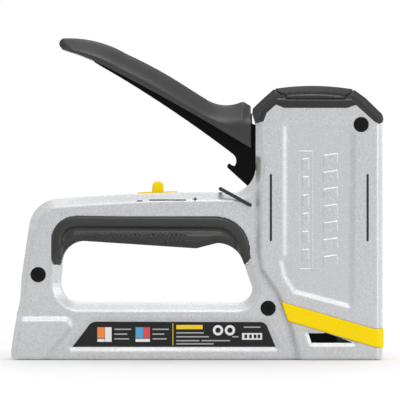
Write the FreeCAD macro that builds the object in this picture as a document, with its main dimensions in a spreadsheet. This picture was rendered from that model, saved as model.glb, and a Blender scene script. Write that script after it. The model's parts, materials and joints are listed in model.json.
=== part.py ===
import FreeCAD, Part
import math
import os

import Sketcher
from FreeCAD import Placement, Rotation, Vector

# A hand staple gun with a squeeze lever. Frame: +X points to the nose, +Z up, Y = 0 is the
# plane where the two cast shells meet, and the origin is under the middle of the base.

doc = FreeCAD.newDocument("staple_gun")

# --------------------------------------------------------------------------- driving dimensions
DIMENSIONS = {
    "body_half": 17.0,        # half width of the front housing
    "handle_half": 13.5,      # half width of the handle and the base
    "foot_half": 15.0,        # half width of the raised foot pads
    "front_face": 104.2,      # front of the housing
    "cavity_half": 13.8,      # half width of the room for the striker
    "core_half": 11.0,        # half width of the metal under the rubber grip
    "handle_room": 8.5,       # half width of the room in the handle
    "grip_half": 15.0,        # half width over the rubber grip
    "grip_wrap": 2.5,         # rubber thickness on the finger side
    "edge_bevel": 2.6,        # bevel round the front housing
    "panel_depth": 0.8,       # recessed side panel
    "label_recess": 0.4,      # pocket that the label lies in
    "label_thick": 0.25,
    "band_depth": 1.3,        # groove that the nose band is laid in
    "band_front": 104.8,      # front of the nose band
    "band_gap": 0.15,         # line round the nose band
    "magazine_room": 8.6,     # half width of the slot in the base
    "magazine_roof": 17.5,    # top of the slot in the base
    "channel_half": 8.3,      # half width of the fixed channel
    "channel_wall": 1.0,
    "channel_top": 17.2,
    "rail_half": 4.2,         # half width of the sliding rail
    "rail_wall": 0.9,
    "rail_bottom": 1.4,
    "rail_top": 10.6,
    "lever_half": 7.0,        # half width of the steel lever
    "lever_sheet": 1.5,       # thickness of its sheet
    "lever_slot": 7.6,        # half width of the slot that it moves in
    "cover_half": 11.0,       # half width of the lever's cover
    "pivot_across": 49.7,     # the lever's pivot
    "pivot_height": 97.1,
    "pivot_pin": 3.0,         # radius
    "pivot_fit": 0.05,        # running clearance of the lever on its pin
    "pivot_boss": 6.5,
    "arm_reach": 42.3,        # pivot to the tip of the lifting arm
    "arm_droop": 11.0,        # degrees below level, lever open
    "arm_tip": 4.0,           # radius
    "arm_half": 5.4,
    "plunger_half": 7.6,
    "plunger_rear": 78.0,
    "plunger_front": 97.9,
    "plunger_bottom": 74.0,
    "plunger_top": 98.0,
    "blade_thick": 1.2,
    "blade_half": 5.3,        # half the staple's crown
    "blade_foot": 1.5,
    "blade_head": 90.0,
    "spring_radius": 6.6,
    "spring_wire": 2.2,       # diameter
    "spring_across": 86.0,
    "seat_bottom": 126.5,
    "seat_top": 129.5,
    "screw_head": 4.25,
    "screw_shank": 2.0,
    "pin_shank": 2.5,
    "bail_wire": 1.6,         # diameter
    "bail_across": 29.6,
    "bail_height": 86.9,
    "bail_half": 14.8,
    "bail_bar_across": 13.05,
    "bail_bar_height": 96.05,
    "slot_width": 1.3,
    "selector_half": 4.9,
    "selector_slot": 5.2,
    "rod_radius": 1.2,
    "rivet_radius": 1.5,
    "window_low": 9.4,
    "window_high": 14.9,
}

sheet = doc.addObject("Spreadsheet::Sheet", "Dims")
for row, (alias, value) in enumerate(DIMENSIONS.items(), start=1):
    sheet.set(f"A{row}", alias)
    sheet.set(f"B{row}", str(value))
    sheet.setAlias(f"B{row}", alias)
doc.recompute()

NODES = {}


def dim(alias):
    """The number in the sheet's cell of that name."""
    return float(getattr(sheet, alias))


def bind(thing, prop, expression):
    """Bind a property to the sheet, with each alias written without its sheet name."""
    words = expression
    for alias in sorted(DIMENSIONS, key=len, reverse=True):
        words = words.replace(f"<{alias}>", f"Dims.{alias}")
    thing.setExpression(prop, words)


def keep(label, thing):
    """Name a finished sub-part; the label is also its file name."""
    thing.Label = label
    NODES[label] = thing
    return thing


# --------------------------------------------------------------------------- outlines in X and Z
class Outline:
    """A closed run of lines and three-point arcs in the side view."""

    def __init__(self, across, height):
        self.start = Vector(across, height, 0)
        self.here = self.start
        self.edges = []

    def line(self, *points):
        for across, height in points:
            there = Vector(across, height, 0)
            self.edges.append(Part.LineSegment(self.here, there))
            self.here = there
        return self

    def arc(self, middle, end):
        there = Vector(end[0], end[1], 0)
        self.edges.append(Part.Arc(self.here, Vector(middle[0], middle[1], 0), there))
        self.here = there
        return self

    def close(self):
        if (self.here - self.start).Length > 1e-6:
            self.edges.append(Part.LineSegment(self.here, self.start))
        return self


def polygon(*points):
    """A closed outline of straight lines."""
    return Outline(*points[0]).line(*points[1:]).close()


def rectangle(left, right, low, high):
    """A closed rectangle."""
    return polygon((left, low), (right, low), (right, high), (left, high))


def disc(across, height, radius):
    """A closed circle, as two half circles."""
    return (
        Outline(across - radius, height)
        .arc((across, height + radius), (across + radius, height))
        .arc((across, height - radius), (across - radius, height))
    )


# --------------------------------------------------------------------------- solid helpers
def new_body(label):
    body = doc.addObject("PartDesign::Body", label)
    return keep(label, body)


def plane_of(body, role):
    for feature in body.Origin.OriginFeatures:
        if feature.Role == role:
            return feature
    raise ValueError(role)


def side_sketch(body, outlines, side, start):
    """A sketch in a plane of constant Y, at start millimetres from the middle on that side."""
    sketch = body.newObject("Sketcher::SketchObject", "outline")
    sketch.AttachmentSupport = [(plane_of(body, "XZ_Plane"), "")]
    sketch.MapMode = "FlatFace"
    bind(sketch, "AttachmentOffset.Base.z", f"{-side} * ({start})")
    for outline in outlines:
        sketch.addGeometry(outline.edges, False)
    return sketch


def pad(body, outlines, side, start, length):
    """Add material from start outwards along Y, on side +1 or -1."""
    sketch = side_sketch(body, outlines, side, start)
    feature = body.newObject("PartDesign::Pad", "pad")
    feature.Profile = sketch
    feature.Reversed = side > 0
    bind(feature, "Length", length)
    return feature


def pad_through(body, outlines, length):
    """Add material the same amount both ways from Y = 0; length is the full width."""
    sketch = side_sketch(body, outlines, -1, "0")
    feature = body.newObject("PartDesign::Pad", "pad")
    feature.Profile = sketch
    feature.Midplane = True
    bind(feature, "Length", length)
    return feature


def cut_volume(body, before):
    """Stop if the last cut took nothing away."""
    doc.recompute()
    if body.Shape.Volume > before - 1e-3:
        raise RuntimeError(f"{body.Label}: a cut took nothing away")


def pocket(body, outlines, side, start, length):
    """Take material away from start outwards along Y, on side +1 or -1."""
    doc.recompute()
    before = body.Shape.Volume
    sketch = side_sketch(body, outlines, side, start)
    feature = body.newObject("PartDesign::Pocket", "pocket")
    feature.Profile = sketch
    feature.Reversed = side < 0
    bind(feature, "Length", length)
    cut_volume(body, before)
    return feature


def pocket_through(body, outlines, length):
    """Take material away the same amount both ways from Y = 0; length is the full width."""
    doc.recompute()
    before = body.Shape.Volume
    sketch = side_sketch(body, outlines, -1, "0")
    feature = body.newObject("PartDesign::Pocket", "pocket")
    feature.Profile = sketch
    feature.Midplane = True
    bind(feature, "Length", length)
    cut_volume(body, before)
    return feature


def bevel(body, level, size, wanted):
    """Chamfer the edges of the face at that Y whose middle passes the test wanted(x, z)."""
    doc.recompute()
    tip = body.Tip
    names = []
    for number, edge in enumerate(tip.Shape.Edges, start=1):
        box = edge.BoundBox
        flat = abs(box.YMin - level) < 1e-3 and abs(box.YMax - level) < 1e-3
        centre = edge.CenterOfMass
        if flat and wanted(centre.x, centre.z):
            names.append(f"Edge{number}")
    feature = body.newObject("PartDesign::Chamfer", "bevel")
    feature.Base = (tip, names)
    bind(feature, "Size", size)
    doc.recompute()
    return feature


def box(name, corner, size):
    """A Part::Box; corner and size are triples of expressions."""
    thing = doc.addObject("Part::Box", name)
    for prop, words in zip(("Length", "Width", "Height"), size):
        bind(thing, prop, words)
    for axis, words in zip("xyz", corner):
        bind(thing, f"Placement.Base.{axis}", words)
    return thing


def rod(name, radius, length, corner, direction):
    """A Part::Cylinder from corner along direction X, Y or Z."""
    thing = doc.addObject("Part::Cylinder", name)
    turn = {"X": Rotation(Vector(0, 1, 0), 90), "Y": Rotation(Vector(1, 0, 0), -90), "Z": Rotation()}
    thing.Placement = Placement(Vector(), turn[direction])
    bind(thing, "Radius", radius)
    bind(thing, "Height", length)
    for axis, words in zip("xyz", corner):
        bind(thing, f"Placement.Base.{axis}", words)
    return thing


def cut(name, base, *tools):
    """base with every tool taken away."""
    for number, tool in enumerate(tools):
        result = doc.addObject("Part::Cut", f"{name}_cut{number}")
        result.Base, result.Tool = base, tool
        base = result
    return base


def fuse(name, *pieces):
    """All pieces in one shape."""
    result = doc.addObject("Part::MultiFuse", name)
    result.Shapes = list(pieces)
    return result


def group(name, *pieces):
    """Separate solids kept together in one node."""
    result = doc.addObject("Part::Compound", name)
    result.Links = list(pieces)
    return result


# --------------------------------------------------------------------------- side-view outlines
def silhouette():
    """Whole outer edge of a shell, from the rear of the foot clockwise."""
    front = dim("front_face")
    return (
        Outline(-103.4, 0)
        .line((-104.6, 1.2), (-104.8, 4.0))
        .arc((-102.8, 17.5), (-99.6, 34.1))
        .line((-98.9, 46.4), (-94.4, 76.8))
        .arc((-90.4, 84.7), (-80.7, 90.3))
        .arc((-45.0, 92.7), (-6.0, 94.1))
        .line((22.5, 94.1))
        .arc((28.7, 98.0), (32.9, 110.0))
        .line((32.9, 133.0), (37.2, 133.8), (39.1, 138.7), (44.2, 143.3), (48.8, 141.4))
        .line((84.3, 141.4), (89.2, 143.1), (99.5, 133.8), (102.2, 132.3), (front, 132.3), (front, 0))
        .close()
    )


def front_housing():
    """The wider part of a shell, round the striker."""
    front = dim("front_face")
    return (
        Outline(32.9, 133.0)
        .line((37.2, 133.8), (39.1, 138.7), (44.2, 143.3), (48.8, 141.4), (84.3, 141.4), (89.2, 143.1))
        .line((99.5, 133.8), (102.2, 132.3), (front, 132.3), (front, 0), (55.7, 0), (49.2, 24.3))
        .line((42.4, 38.4))
        .line((34.5, 50.0), (32.9, 60.0))
        .close()
    )


def finger_hole(wrap):
    """The opening for the hand; wrap is how far the upper edge stands off the finger side."""
    return (
        Outline(-76.3, 52.9)
        .line((-77.4, 43.0))
        .arc((-74.1, 34.9), (-66.0, 31.5))
        .line((23.0, 31.5))
        .arc((28.9, 34.0), (31.2, 39.9))
        .line((26.8, 52.9), (26.3 + wrap, 53.3))
        .arc((21.0 + 0.7 * wrap, 62.0 + 0.7 * wrap), (11.2, 65.4 + wrap))
        .line((-0.5, 62.4 + wrap), (-64.0, 66.6 + wrap))
        .arc((-72.9 - 0.7 * wrap, 62.6 + 0.7 * wrap), (-76.6 - wrap, 53.3))
        .close()
    )


def grip_edge():
    """The rubber grip seen from the side, with its finger side."""
    return (
        Outline(-80.7, 53.3)
        .line((-82.2, 57.0), (-82.2, 66.8))
        .arc((-78.1, 76.7), (-68.2, 80.8))
        .line((11.0, 80.3))
        .arc((23.6, 75.1), (29.5, 61.0))
        .line((30.0, 57.0), (27.2, 53.3), (26.3, 53.6))
        .arc((21.0, 62.0), (11.2, 65.4))
        .line((-0.5, 62.4), (-64.0, 66.6))
        .arc((-72.9, 62.6), (-76.6, 53.6))
        .close()
    )


def cap_edge():
    """The bumper over the top of the front housing."""
    return (
        Outline(31.2, 138.7)
        .line((31.5, 141.4), (37.7, 147.3), (42.9, 151.8), (88.6, 151.4), (94.6, 147.1), (102.7, 139.2))
        .arc((104.6, 136.2), (104.1, 133.2))
        .line((102.2, 132.3), (99.5, 133.8), (89.2, 143.1), (84.3, 141.4), (48.8, 141.4))
        .line((44.2, 143.3), (39.1, 138.7), (37.2, 133.8), (32.9, 133.0))
        .close()
    )


def cap_inlay():
    """The pad let into the top of the bumper."""
    return (
        Outline(43.7, 152.3)
        .arc((65.9, 153.9), (87.5, 152.0))
        .line((85.4, 149.3), (82.2, 146.7), (50.8, 146.8), (47.8, 149.3))
        .close()
    )


def band_edge(gap=0.0):
    """The yellow band across the nose, grown by gap all round."""
    front = dim("band_front") + gap
    return polygon(
        (47.3 - 1.4 * gap, 32.6 + gap),
        (99.3, 17.4 + gap),
        (front, 17.4 + gap),
        (front, 6.9 - gap),
        (100.6, 6.9 - gap),
        (51.0 - gap, 21.7 - gap),
    )


def label_edge():
    """The dark label on the base."""
    return (
        Outline(-70.2, 7.1)
        .line((-61.9, 17.8))
        .arc((-59.6, 20.4), (-56.5, 21.2))
        .line((35.3, 21.0))
        .arc((38.0, 20.2), (39.3, 18.6))
        .line((44.0, 7.1))
        .close()
    )


def panel_edge():
    """The recessed panel on the side of the front housing."""
    return (
        Outline(50.2, 134.4)
        .line((78.4, 134.4))
        .arc((85.8, 131.3), (88.9, 123.9))
        .line((88.2, 32.2), (86.0, 28.6), (53.5, 37.2), (47.8, 46.0), (45.8, 56.0), (47.9, 59.0), (47.9, 132.0))
        .close()
    )


def foot_edge():
    """The raised pad over the rear of the base."""
    return (
        Outline(-103.4, 0)
        .line((-104.6, 4.0), (-101.8, 21.5), (-75.0, 21.5))
        .arc((-72.8, 20.2), (-72.7, 18.2))
        .line((-87.0, 0))
        .close()
    )


def window_edge():
    """The sight window over the staples."""
    low, high = dim("window_low"), dim("window_high")
    return polygon((62.4, high), (72.5, high), (88.2, low), (64.2, low))


def lever_steel_edge():
    """The pressed steel lever, from the tail along the top and back under the hook."""
    return (
        Outline(-58.0, 167.6)
        .line((-60.0, 175.6))
        .arc((-30.0, 163.6), (4.2, 144.0))
        .arc((12.7, 140.4), (22.0, 140.2))
        .line((30.9, 138.4), (31.0, 133.0), (38.0, 129.0), (57.5, 102.5))
        .arc((58.7, 97.1), (49.7, 88.1))
        .line((40.0, 90.2), (28.3, 97.9), (17.3, 107.9))
        .arc((17.1, 109.4), (18.3, 110.3))
        .arc((19.6, 109.4), (21.0, 108.9))
        .arc((22.1, 111.6), (20.4, 115.6))
        .line((17.3, 118.0))
        .arc((-10.3, 137.8), (-43.6, 159.2))
        .close()
    )


def cover_edge():
    """The moulded cover over the lever."""
    return (
        Outline(-77.6, 176.5)
        .arc((-77.6, 179.2), (-75.8, 180.9))
        .arc((-58.0, 179.4), (-40.0, 172.2))
        .arc((-22.8, 163.6), (-5.2, 153.0))
        .line((4.2, 147.1))
        .arc((14.5, 143.3), (24.4, 144.8))
        .line((26.2, 145.2), (30.2, 142.7), (30.2, 119.0), (20.6, 124.8))
        .arc((-5.2, 139.9), (-58.1, 168.2))
        .line((-67.1, 171.8), (-76.1, 174.7))
        .close()
    )


# --------------------------------------------------------------------------- housing
REAR_SCREW = (-89.5, 47.7)
FRONT_SCREW = (39.9, 28.8)
TOP_PIN = (92.1, 132.1)
SIDE_SLOTS = (41.35, 95.7)
SLOT_ENDS = (66.4, 104.4)


def shell(label, side):
    """One cast half of the housing, with its rooms, recesses and bosses."""
    pivot = (dim("pivot_across"), dim("pivot_height"))
    body = new_body(label)
    pad(body, [silhouette(), finger_hole(dim("grip_wrap"))], side, "0", "<handle_half>")
    pad(body, [foot_edge()], side, "0", "<foot_half>")
    pad(body, [front_housing()], side, "0", "<body_half>")
    level = side * dim("body_half")
    bevel(body, level, "<edge_bevel>", lambda x, z: x > 104 or (x < 53 and z < 100))
    # rooms inside: striker, handle, magazine, lever
    striker = (
        Outline(37.0, 60.0)
        .line((37.0, 130.0), (43.0, 138.0), (86.0, 138.0), (94.5, 130.0), (101.2, 130.0))
        .line((101.2, 20.5), (58.0, 20.5), (50.0, 38.0), (44.0, 48.0))
        .close()
    )
    pocket(body, [striker], side, "0", "<cavity_half>")
    pocket(body, [rectangle(-78.0, 40.0, 76.0, 89.0)], side, "0", "<handle_room>")
    pocket(body, [rectangle(-110.0, 101.2, -1.0, dim("magazine_roof"))], side, "0", "<magazine_room>")
    pocket(body, [rectangle(96.5, 101.2, 15.0, 24.0)], side, "0", "<magazine_room>")
    pocket(body, [rectangle(-110.0, -90.5, -1.0, 28.5)], side, "0", "<magazine_room> + 0.6")
    way_in = polygon(
        (13.0, 96.0), (13.0, 93.4), (24.0, 85.0), (60.0, 85.0), (60.0, 134.0), (38.5, 134.0), (30.0, 134.0)
    )
    pocket(body, [way_in], side, "0", "<lever_slot>")
    pocket(body, [rectangle(-42.0, 3.2, 88.0, 96.0)], side, "0", "<selector_slot>")
    # bosses for the lever's pivot and the top pin
    pad(body, [disc(*pivot, dim("pivot_boss"))], side, "<lever_slot> + 0.1", "<cavity_half> - <lever_slot>")
    pocket(body, [disc(*pivot, dim("pivot_pin"))], side, "0", "<cavity_half>")
    # outside: panel, label, band, window, grip, slots
    pocket(body, [panel_edge()], side, "<body_half> - <panel_depth>", "<panel_depth> + 1")
    pocket(body, [label_edge()], side, "<handle_half> - <label_recess>", "<label_recess> + 1")
    pocket(body, [band_edge(dim("band_gap"))], side, "<body_half> - <band_depth>", "<band_depth> + 1")
    front = dim("front_face")
    pocket(body, [rectangle(front - 1.3, front + 1, 6.75, 17.55)], side, "0", "<body_half> + 1")
    pocket(body, [window_edge()], side, "0", "<body_half> + 1")
    pocket(body, [grip_edge()], side, "<core_half>", "<handle_half>")
    for across in SIDE_SLOTS:
        slot = rectangle(across - dim("slot_width") / 2, across + dim("slot_width") / 2, *SLOT_ENDS)
        pocket(body, [slot], side, "<body_half> - 2", "3")
    # fasteners: heads on the right shell, nuts on the left one
    head = dim("screw_head")
    for place, half in ((REAR_SCREW, "<handle_half>"), (FRONT_SCREW, "<handle_half>")):
        pocket(body, [disc(*place, dim("screw_shank"))], side, "0", half)
        pocket(body, [disc(*place, head)], side, f"{half} - 1.6", "3")
    pocket(body, [disc(*TOP_PIN, dim("pin_shank"))], side, "0", "<body_half>")
    pocket(body, [disc(*TOP_PIN, head + 0.2)], side, "<body_half> - 1.2", "3")
    wire_hole = disc(dim("bail_across"), dim("bail_height"), dim("bail_wire") / 2 + 0.05)
    pocket(body, [wire_hole], side, "<handle_half> - 3", "4")
    return body


for label, side in (("right_shell", -1), ("left_shell", 1)):
    shell(label, side)


def bumper():
    """The cap frame over the top of both shells, with a seat for its pad."""
    body = new_body("top_cap_frame")
    pad_through(body, [cap_edge()], "2 * <body_half>")
    pocket_through(body, [cap_inlay()], "2 * <body_half> + 1")
    return body


def bumper_pad():
    body = new_body("top_cap_pad")
    pad_through(body, [cap_inlay()], "2 * <body_half>")
    return body


bumper()
bumper_pad()


def grip(label, side):
    """Half of the rubber grip, wrapped round the finger side of the handle."""
    body = new_body(label)
    pad(body, [grip_edge()], side, "0", "<grip_half>")
    wrap = dim("grip_wrap")
    core = (
        Outline(-90.0, 53.3)
        .line((-76.6 - wrap, 53.3))
        .arc((-72.9 - 0.7 * wrap, 62.6 + 0.7 * wrap), (-64.0, 66.6 + wrap))
        .line((-0.5, 62.4 + wrap), (11.2, 65.4 + wrap))
        .arc((21.0 + 0.7 * wrap, 62.0 + 0.7 * wrap), (26.3 + wrap, 53.3))
        .line((40.0, 53.3), (40.0, 90.0), (-90.0, 90.0))
        .close()
    )
    pocket(body, [core], side, "0", "<core_half>")
    return body


def label_plate(label, side):
    body = new_body(label)
    pad(body, [label_edge()], side, "<handle_half> - <label_recess>", "<label_thick>")
    return body


for word, side in (("right", -1), ("left", 1)):
    grip(f"{word}_grip", side)
    label_plate(f"{word}_label", side)


def nose_band():
    """The yellow band: two side strips joined across the front."""
    body = new_body("nose_band")
    pad_through(body, [band_edge()], "2 * <body_half>")
    inside = rectangle(40.0, dim("front_face") - 1.3, 0.0, 40.0)
    pocket_through(body, [inside], "2 * (<body_half> - <band_depth>)")
    return body


nose_band()

keep(
    "nose_plate",
    box("nose_plate", ("99.6", "-8.4", "0.3"), ("1.4", "16.8", "60")),
)


def fastener(name, place, face, shank, length, head_thick):
    """A cross screw or pin: a head in the right shell's face and a shank through both."""
    head = rod(name + "_head", "<screw_head> - 0.05", head_thick, (str(place[0]), "0", str(place[1])), "Y")
    bind(head, "Placement.Base.y", f"-({face})")
    stem = rod(name + "_stem", shank, length, (str(place[0]), "0", str(place[1])), "Y")
    bind(stem, "Placement.Base.y", f"-({length}) / 2")
    return fuse(name, head, stem)


def socket(name, place, face):
    """The six-sided socket in a screw's head, seen from the right."""
    tool = doc.addObject("Part::Prism", name)
    tool.Polygon = 6
    tool.Placement = Placement(Vector(place[0], 0, place[1]), Rotation(Vector(1, 0, 0), -90))
    bind(tool, "Circumradius", "1.7")
    bind(tool, "Height", "1.1")
    bind(tool, "Placement.Base.y", f"-({face}) - 0.1")
    return tool


screws = []
for name, place in (("rear_screw", REAR_SCREW), ("front_screw", FRONT_SCREW)):
    whole = fastener(name, place, "<handle_half> - 0.1", "<screw_shank>", "24", "1.5")
    screws.append(cut(name, whole, socket(name + "_socket", place, "<handle_half> - 0.1")))
keep("housing_screws", group("housing_screws", *screws))

caps = [
    rod(name, "<screw_head> - 0.05", "1.3", (str(place[0]), "<handle_half> - 1.5", str(place[1])), "Y")
    for name, place in (("rear_cap", REAR_SCREW), ("front_cap", FRONT_SCREW))
]
keep("screw_caps", group("screw_caps", *caps))

pin = fastener("seat_pin_right", TOP_PIN, "<body_half> - 0.1", "<pin_shank>", "2 * <body_half> - 2.2", "1.0")
far_head = rod(
    "seat_pin_left", "<screw_head>", "1", (str(TOP_PIN[0]), "<body_half> - 1.1", str(TOP_PIN[1])), "Y"
)
keep("spring_seat_pin", fuse("spring_seat_pin", pin, far_head))

keep(
    "lever_pivot_pin",
    rod(
        "lever_pivot_pin",
        "<pivot_pin>",
        "2 * <cavity_half> - 1",
        ("<pivot_across>", "0.5 - <cavity_half>", "<pivot_height>"),
        "Y",
    ),
)

keep(
    "spring_seat",
    box("spring_seat", ("76", "-9", "<seat_bottom>"), ("25", "18", "<seat_top> - <seat_bottom>")),
)

keep(
    "striker_buffer",
    box("striker_buffer", ("79", "-7.2", "64"), ("16", "14.4", "9.8")),
)
keep(
    "buffer_bracket",
    box("buffer_bracket", ("76", "-13.7", "60"), ("20", "27.4", "4")),
)


def fixed_channel():
    """The channel that guides the magazine rail, open underneath, with sight windows."""
    body = new_body("magazine_channel")
    outside = rectangle(-91.0, 97.6, 0.6, dim("channel_top"))
    pad_through(body, [outside], "2 * <channel_half>")
    inside = rectangle(-92.0, 98.6, 0.0, dim("channel_top") - dim("channel_wall"))
    pocket_through(body, [inside], "2 * (<channel_half> - <channel_wall>)")
    pocket_through(body, [window_edge()], "2 * <channel_half> + 2")
    return body


fixed_channel()

# --------------------------------------------------------------------------- lever
RIVETS = ((-44.0, 164.6), (8.0, 134.0), (43.5, 98.5))

def turned(across, height, degrees):
    """A point round the lever's pivot, that many degrees up from the +X direction."""
    angle = math.radians(degrees)
    reach = across
    return (
        dim("pivot_across") + reach * math.cos(angle) - height * math.sin(angle),
        dim("pivot_height") + reach * math.sin(angle) + height * math.cos(angle),
    )


def lever_channel():
    """Two steel cheeks joined along the top, with the lock hook cut in both."""
    body = new_body("lever_channel")
    pad_through(body, [lever_steel_edge()], "2 * <lever_half>")
    inside = (
        Outline(-70.0, 160.0)
        .line((-59.0, 174.0))
        .arc((-30.4, 162.1), (3.6, 142.6))
        .arc((12.7, 138.9), (22.0, 138.6))
        .line((29.4, 137.3), (29.4, 132.0), (37.0, 127.6), (70.0, 110.0), (70.0, 80.0), (0.0, 80.0))
        .close()
    )
    pocket_through(body, [inside], "2 * (<lever_half> - <lever_sheet>)")
    bore = disc(dim("pivot_across"), dim("pivot_height"), dim("pivot_pin") + dim("pivot_fit"))
    pocket_through(body, [bore], "2 * <lever_half> + 2")
    rivets = [disc(*place, dim("rivet_radius")) for place in RIVETS]
    pocket_through(body, rivets, "2 * <lever_half> + 2")
    return body


def lever_cover():
    """The moulded cover, hollowed to sit over the steel."""
    body = new_body("lever_cover")
    pad_through(body, [cover_edge()], "2 * <cover_half>")
    pocket_through(body, [lever_steel_edge()], "2 * <lever_half>")
    return body


def lifting_arm():
    """The forged arm between the cheeks, from the pivot to its round tip."""
    body = new_body("lifting_arm")
    droop = -dim("arm_droop")
    reach, tip = dim("arm_reach"), dim("arm_tip")
    arm = (
        Outline(*turned(0, 8.2, droop))
        .line(turned(22, tip, droop), turned(reach, tip, droop))
        .arc(turned(reach + tip, 0, droop), turned(reach, -tip, droop))
        .line(turned(22, -tip, droop), turned(0, -8.2, droop))
        .arc(turned(-8.2, 0, droop), turned(0, 8.2, droop))
    )
    pad_through(body, [arm], "2 * <arm_half>")
    bore = disc(dim("pivot_across"), dim("pivot_height"), dim("pivot_pin") + dim("pivot_fit"))
    pocket_through(body, [bore], "2 * <arm_half> + 2")
    pocket_through(body, [disc(*RIVETS[-1], dim("rivet_radius"))], "2 * <arm_half> + 2")
    return body


lever_channel()
lever_cover()
lifting_arm()

rivets = [
    rod(f"rivet{n}", "<rivet_radius>", "2 * <lever_half>", (str(x), "-<lever_half>", str(z)), "Y")
    for n, (x, z) in enumerate(RIVETS)
]
keep("lever_rivets", group("lever_rivets", *rivets))

# --------------------------------------------------------------------------- striker


def striker():
    """The block that the lever lifts, with a slot for the arm."""
    body = new_body("striker_block")
    outside = rectangle(dim("plunger_rear"), dim("plunger_front"), dim("plunger_bottom"), dim("plunger_top"))
    pad_through(body, [outside], "2 * <plunger_half>")
    tip = turned(dim("arm_reach"), 0, -dim("arm_droop"))
    rear, snug, flare = dim("plunger_rear") - 1, dim("arm_tip") + 0.6, dim("arm_tip") + 4.0
    room = polygon(
        (rear, tip[1] - flare),
        (89.0, tip[1] - snug),
        (96.3, tip[1] - snug),
        (96.3, tip[1] + snug),
        (89.0, tip[1] + snug),
        (rear, tip[1] + flare),
    )
    pocket_through(body, [room], "2 * (<arm_half> + 0.4)")
    return body


striker()
keep(
    "driver_blade",
    box(
        "driver_blade",
        ("<plunger_front>", "-<blade_half>", "<blade_foot>"),
        ("<blade_thick>", "2 * <blade_half>", "<blade_head> - <blade_foot>"),
    ),
)


def coil(name, radius, wire, height, turns, corner):
    """A helical spring standing on corner, swept from a circle along a helix."""
    helix = doc.addObject("Part::Helix", name + "_line")
    bind(helix, "Radius", radius)
    bind(helix, "Height", height)
    bind(helix, "Pitch", f"({height}) / {turns}")
    ring = doc.addObject("Part::Circle", name + "_ring")
    bind(ring, "Radius", f"({wire}) / 2")
    ring.Placement = Placement(Vector(), Rotation(Vector(1, 0, 0), 90))
    bind(ring, "Placement.Base.x", radius)
    sweep = doc.addObject("Part::Sweep", name)
    sweep.Sections = [ring]
    sweep.Spine = (helix, [])
    sweep.Solid = True
    sweep.Frenet = True
    for axis, words in zip("xyz", corner):
        bind(sweep, f"Placement.Base.{axis}", words)
    return sweep


keep(
    "main_spring",
    coil(
        "main_spring",
        "<spring_radius>",
        "<spring_wire>",
        "<seat_bottom> - <plunger_top> - <spring_wire> - 0.6",
        4.5,
        ("<spring_across>", "0", "<plunger_top> + <spring_wire> / 2 + 0.3"),
    ),
)

# --------------------------------------------------------------------------- wire lock


def lock_bail():
    """A bent wire: two stub ends, two arms and a bar over the handle."""
    wire = dim("bail_wire") / 2
    half = dim("bail_half")
    pivot_x, pivot_z = dim("bail_across"), dim("bail_height")
    bar_x, bar_z = dim("bail_bar_across"), dim("bail_bar_height")
    bend = 1.2
    stub = dim("handle_half") - 2.6
    along = Vector(bar_x - pivot_x, 0, bar_z - pivot_z)
    reach = along.Length
    along.normalize()

    def at(outwards, distance):
        return Vector(pivot_x, outwards, pivot_z) + along * distance

    def corner(outwards, distance, inward, forward):
        """A quarter bend whose sharp corner is at (outwards, distance)."""
        start = at(outwards + inward * bend, distance)
        end = at(outwards, distance + forward * bend)
        ease = bend * (1 - math.sqrt(0.5))
        middle = at(outwards + inward * ease, distance + forward * ease)
        return start, middle, end

    edges = []
    near = corner(half, 0.0, -1, 1)
    edges.append(Part.LineSegment(at(stub, 0.0), near[0]).toShape())
    edges.append(Part.Arc(*near).toShape())
    far = corner(half, reach, -1, -1)
    edges.append(Part.LineSegment(near[2], far[2]).toShape())
    edges.append(Part.Arc(far[2], far[1], far[0]).toShape())
    mirror = corner(-half, reach, 1, -1)
    edges.append(Part.LineSegment(far[0], mirror[0]).toShape())
    edges.append(Part.Arc(*mirror).toShape())
    last = corner(-half, 0.0, 1, 1)
    edges.append(Part.LineSegment(mirror[2], last[2]).toShape())
    edges.append(Part.Arc(last[2], last[1], last[0]).toShape())
    edges.append(Part.LineSegment(last[0], at(-stub, 0.0)).toShape())
    path = Part.Wire(edges)
    profile = Part.Wire(Part.makeCircle(wire, path.Vertexes[0].Point, Vector(0, 1, 0)))
    feature = doc.addObject("Part::Feature", "lock_bail")
    feature.Shape = path.makePipeShell([profile], True, True)
    feature.Placement = Placement()
    return keep("lock_bail", feature)


lock_bail()

# --------------------------------------------------------------------------- power selector


def selector():
    """The yellow slider: a strip in the handle's slot with a thumb tab."""
    body = new_body("selector_slider")
    strip = (
        Outline(-33.3, 92.2)
        .line((-33.3, 93.1), (-25.6, 93.7), (-25.2, 99.0))
        .arc((-22.3, 100.2), (-19.4, 99.0))
        .line((-19.0, 94.0), (-11.3, 94.2), (-11.3, 92.2))
        .close()
    )
    pad_through(body, [strip], "2 * <selector_half>")
    return body


selector()
keep(
    "power_link",
    fuse(
        "power_link",
        box("link_strip", ("-31", "-3.5", "79.5"), ("92", "7", "3")),
        box("link_post", ("-24", "-2.5", "82.5"), ("6", "5", "9.7")),
    ),
)

# --------------------------------------------------------------------------- magazine


def magazine_rail():
    """The sliding rail that the staples straddle, open on top."""
    body = new_body("magazine_rail")
    low, high, wall = dim("rail_bottom"), dim("rail_top"), dim("rail_wall")
    pad_through(body, [rectangle(-94.0, 96.8, low, high)], "2 * <rail_half>")
    inside = rectangle(-95.0, 97.8, low + wall, high + 1)
    pocket_through(body, [inside], "2 * (<rail_half> - <rail_wall>)")
    return body


magazine_rail()


def rail_end_cap():
    """The block at the rear of the rail, with a finger lip and a slot for the latch."""
    body = new_body("rail_end_cap")
    outside = (
        Outline(-101.6, 0.5)
        .line((-102.0, 8.0), (-100.6, 21.8), (-92.6, 21.8), (-92.6, 0.5))
        .close()
    )
    pad_through(body, [outside], "2 * <magazine_room>")
    seat = rectangle(-94.2, -92.0, dim("rail_bottom") - 0.5, dim("rail_top") + 0.5)
    pocket_through(body, [seat], "2 * <rail_half>")
    return body


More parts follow.
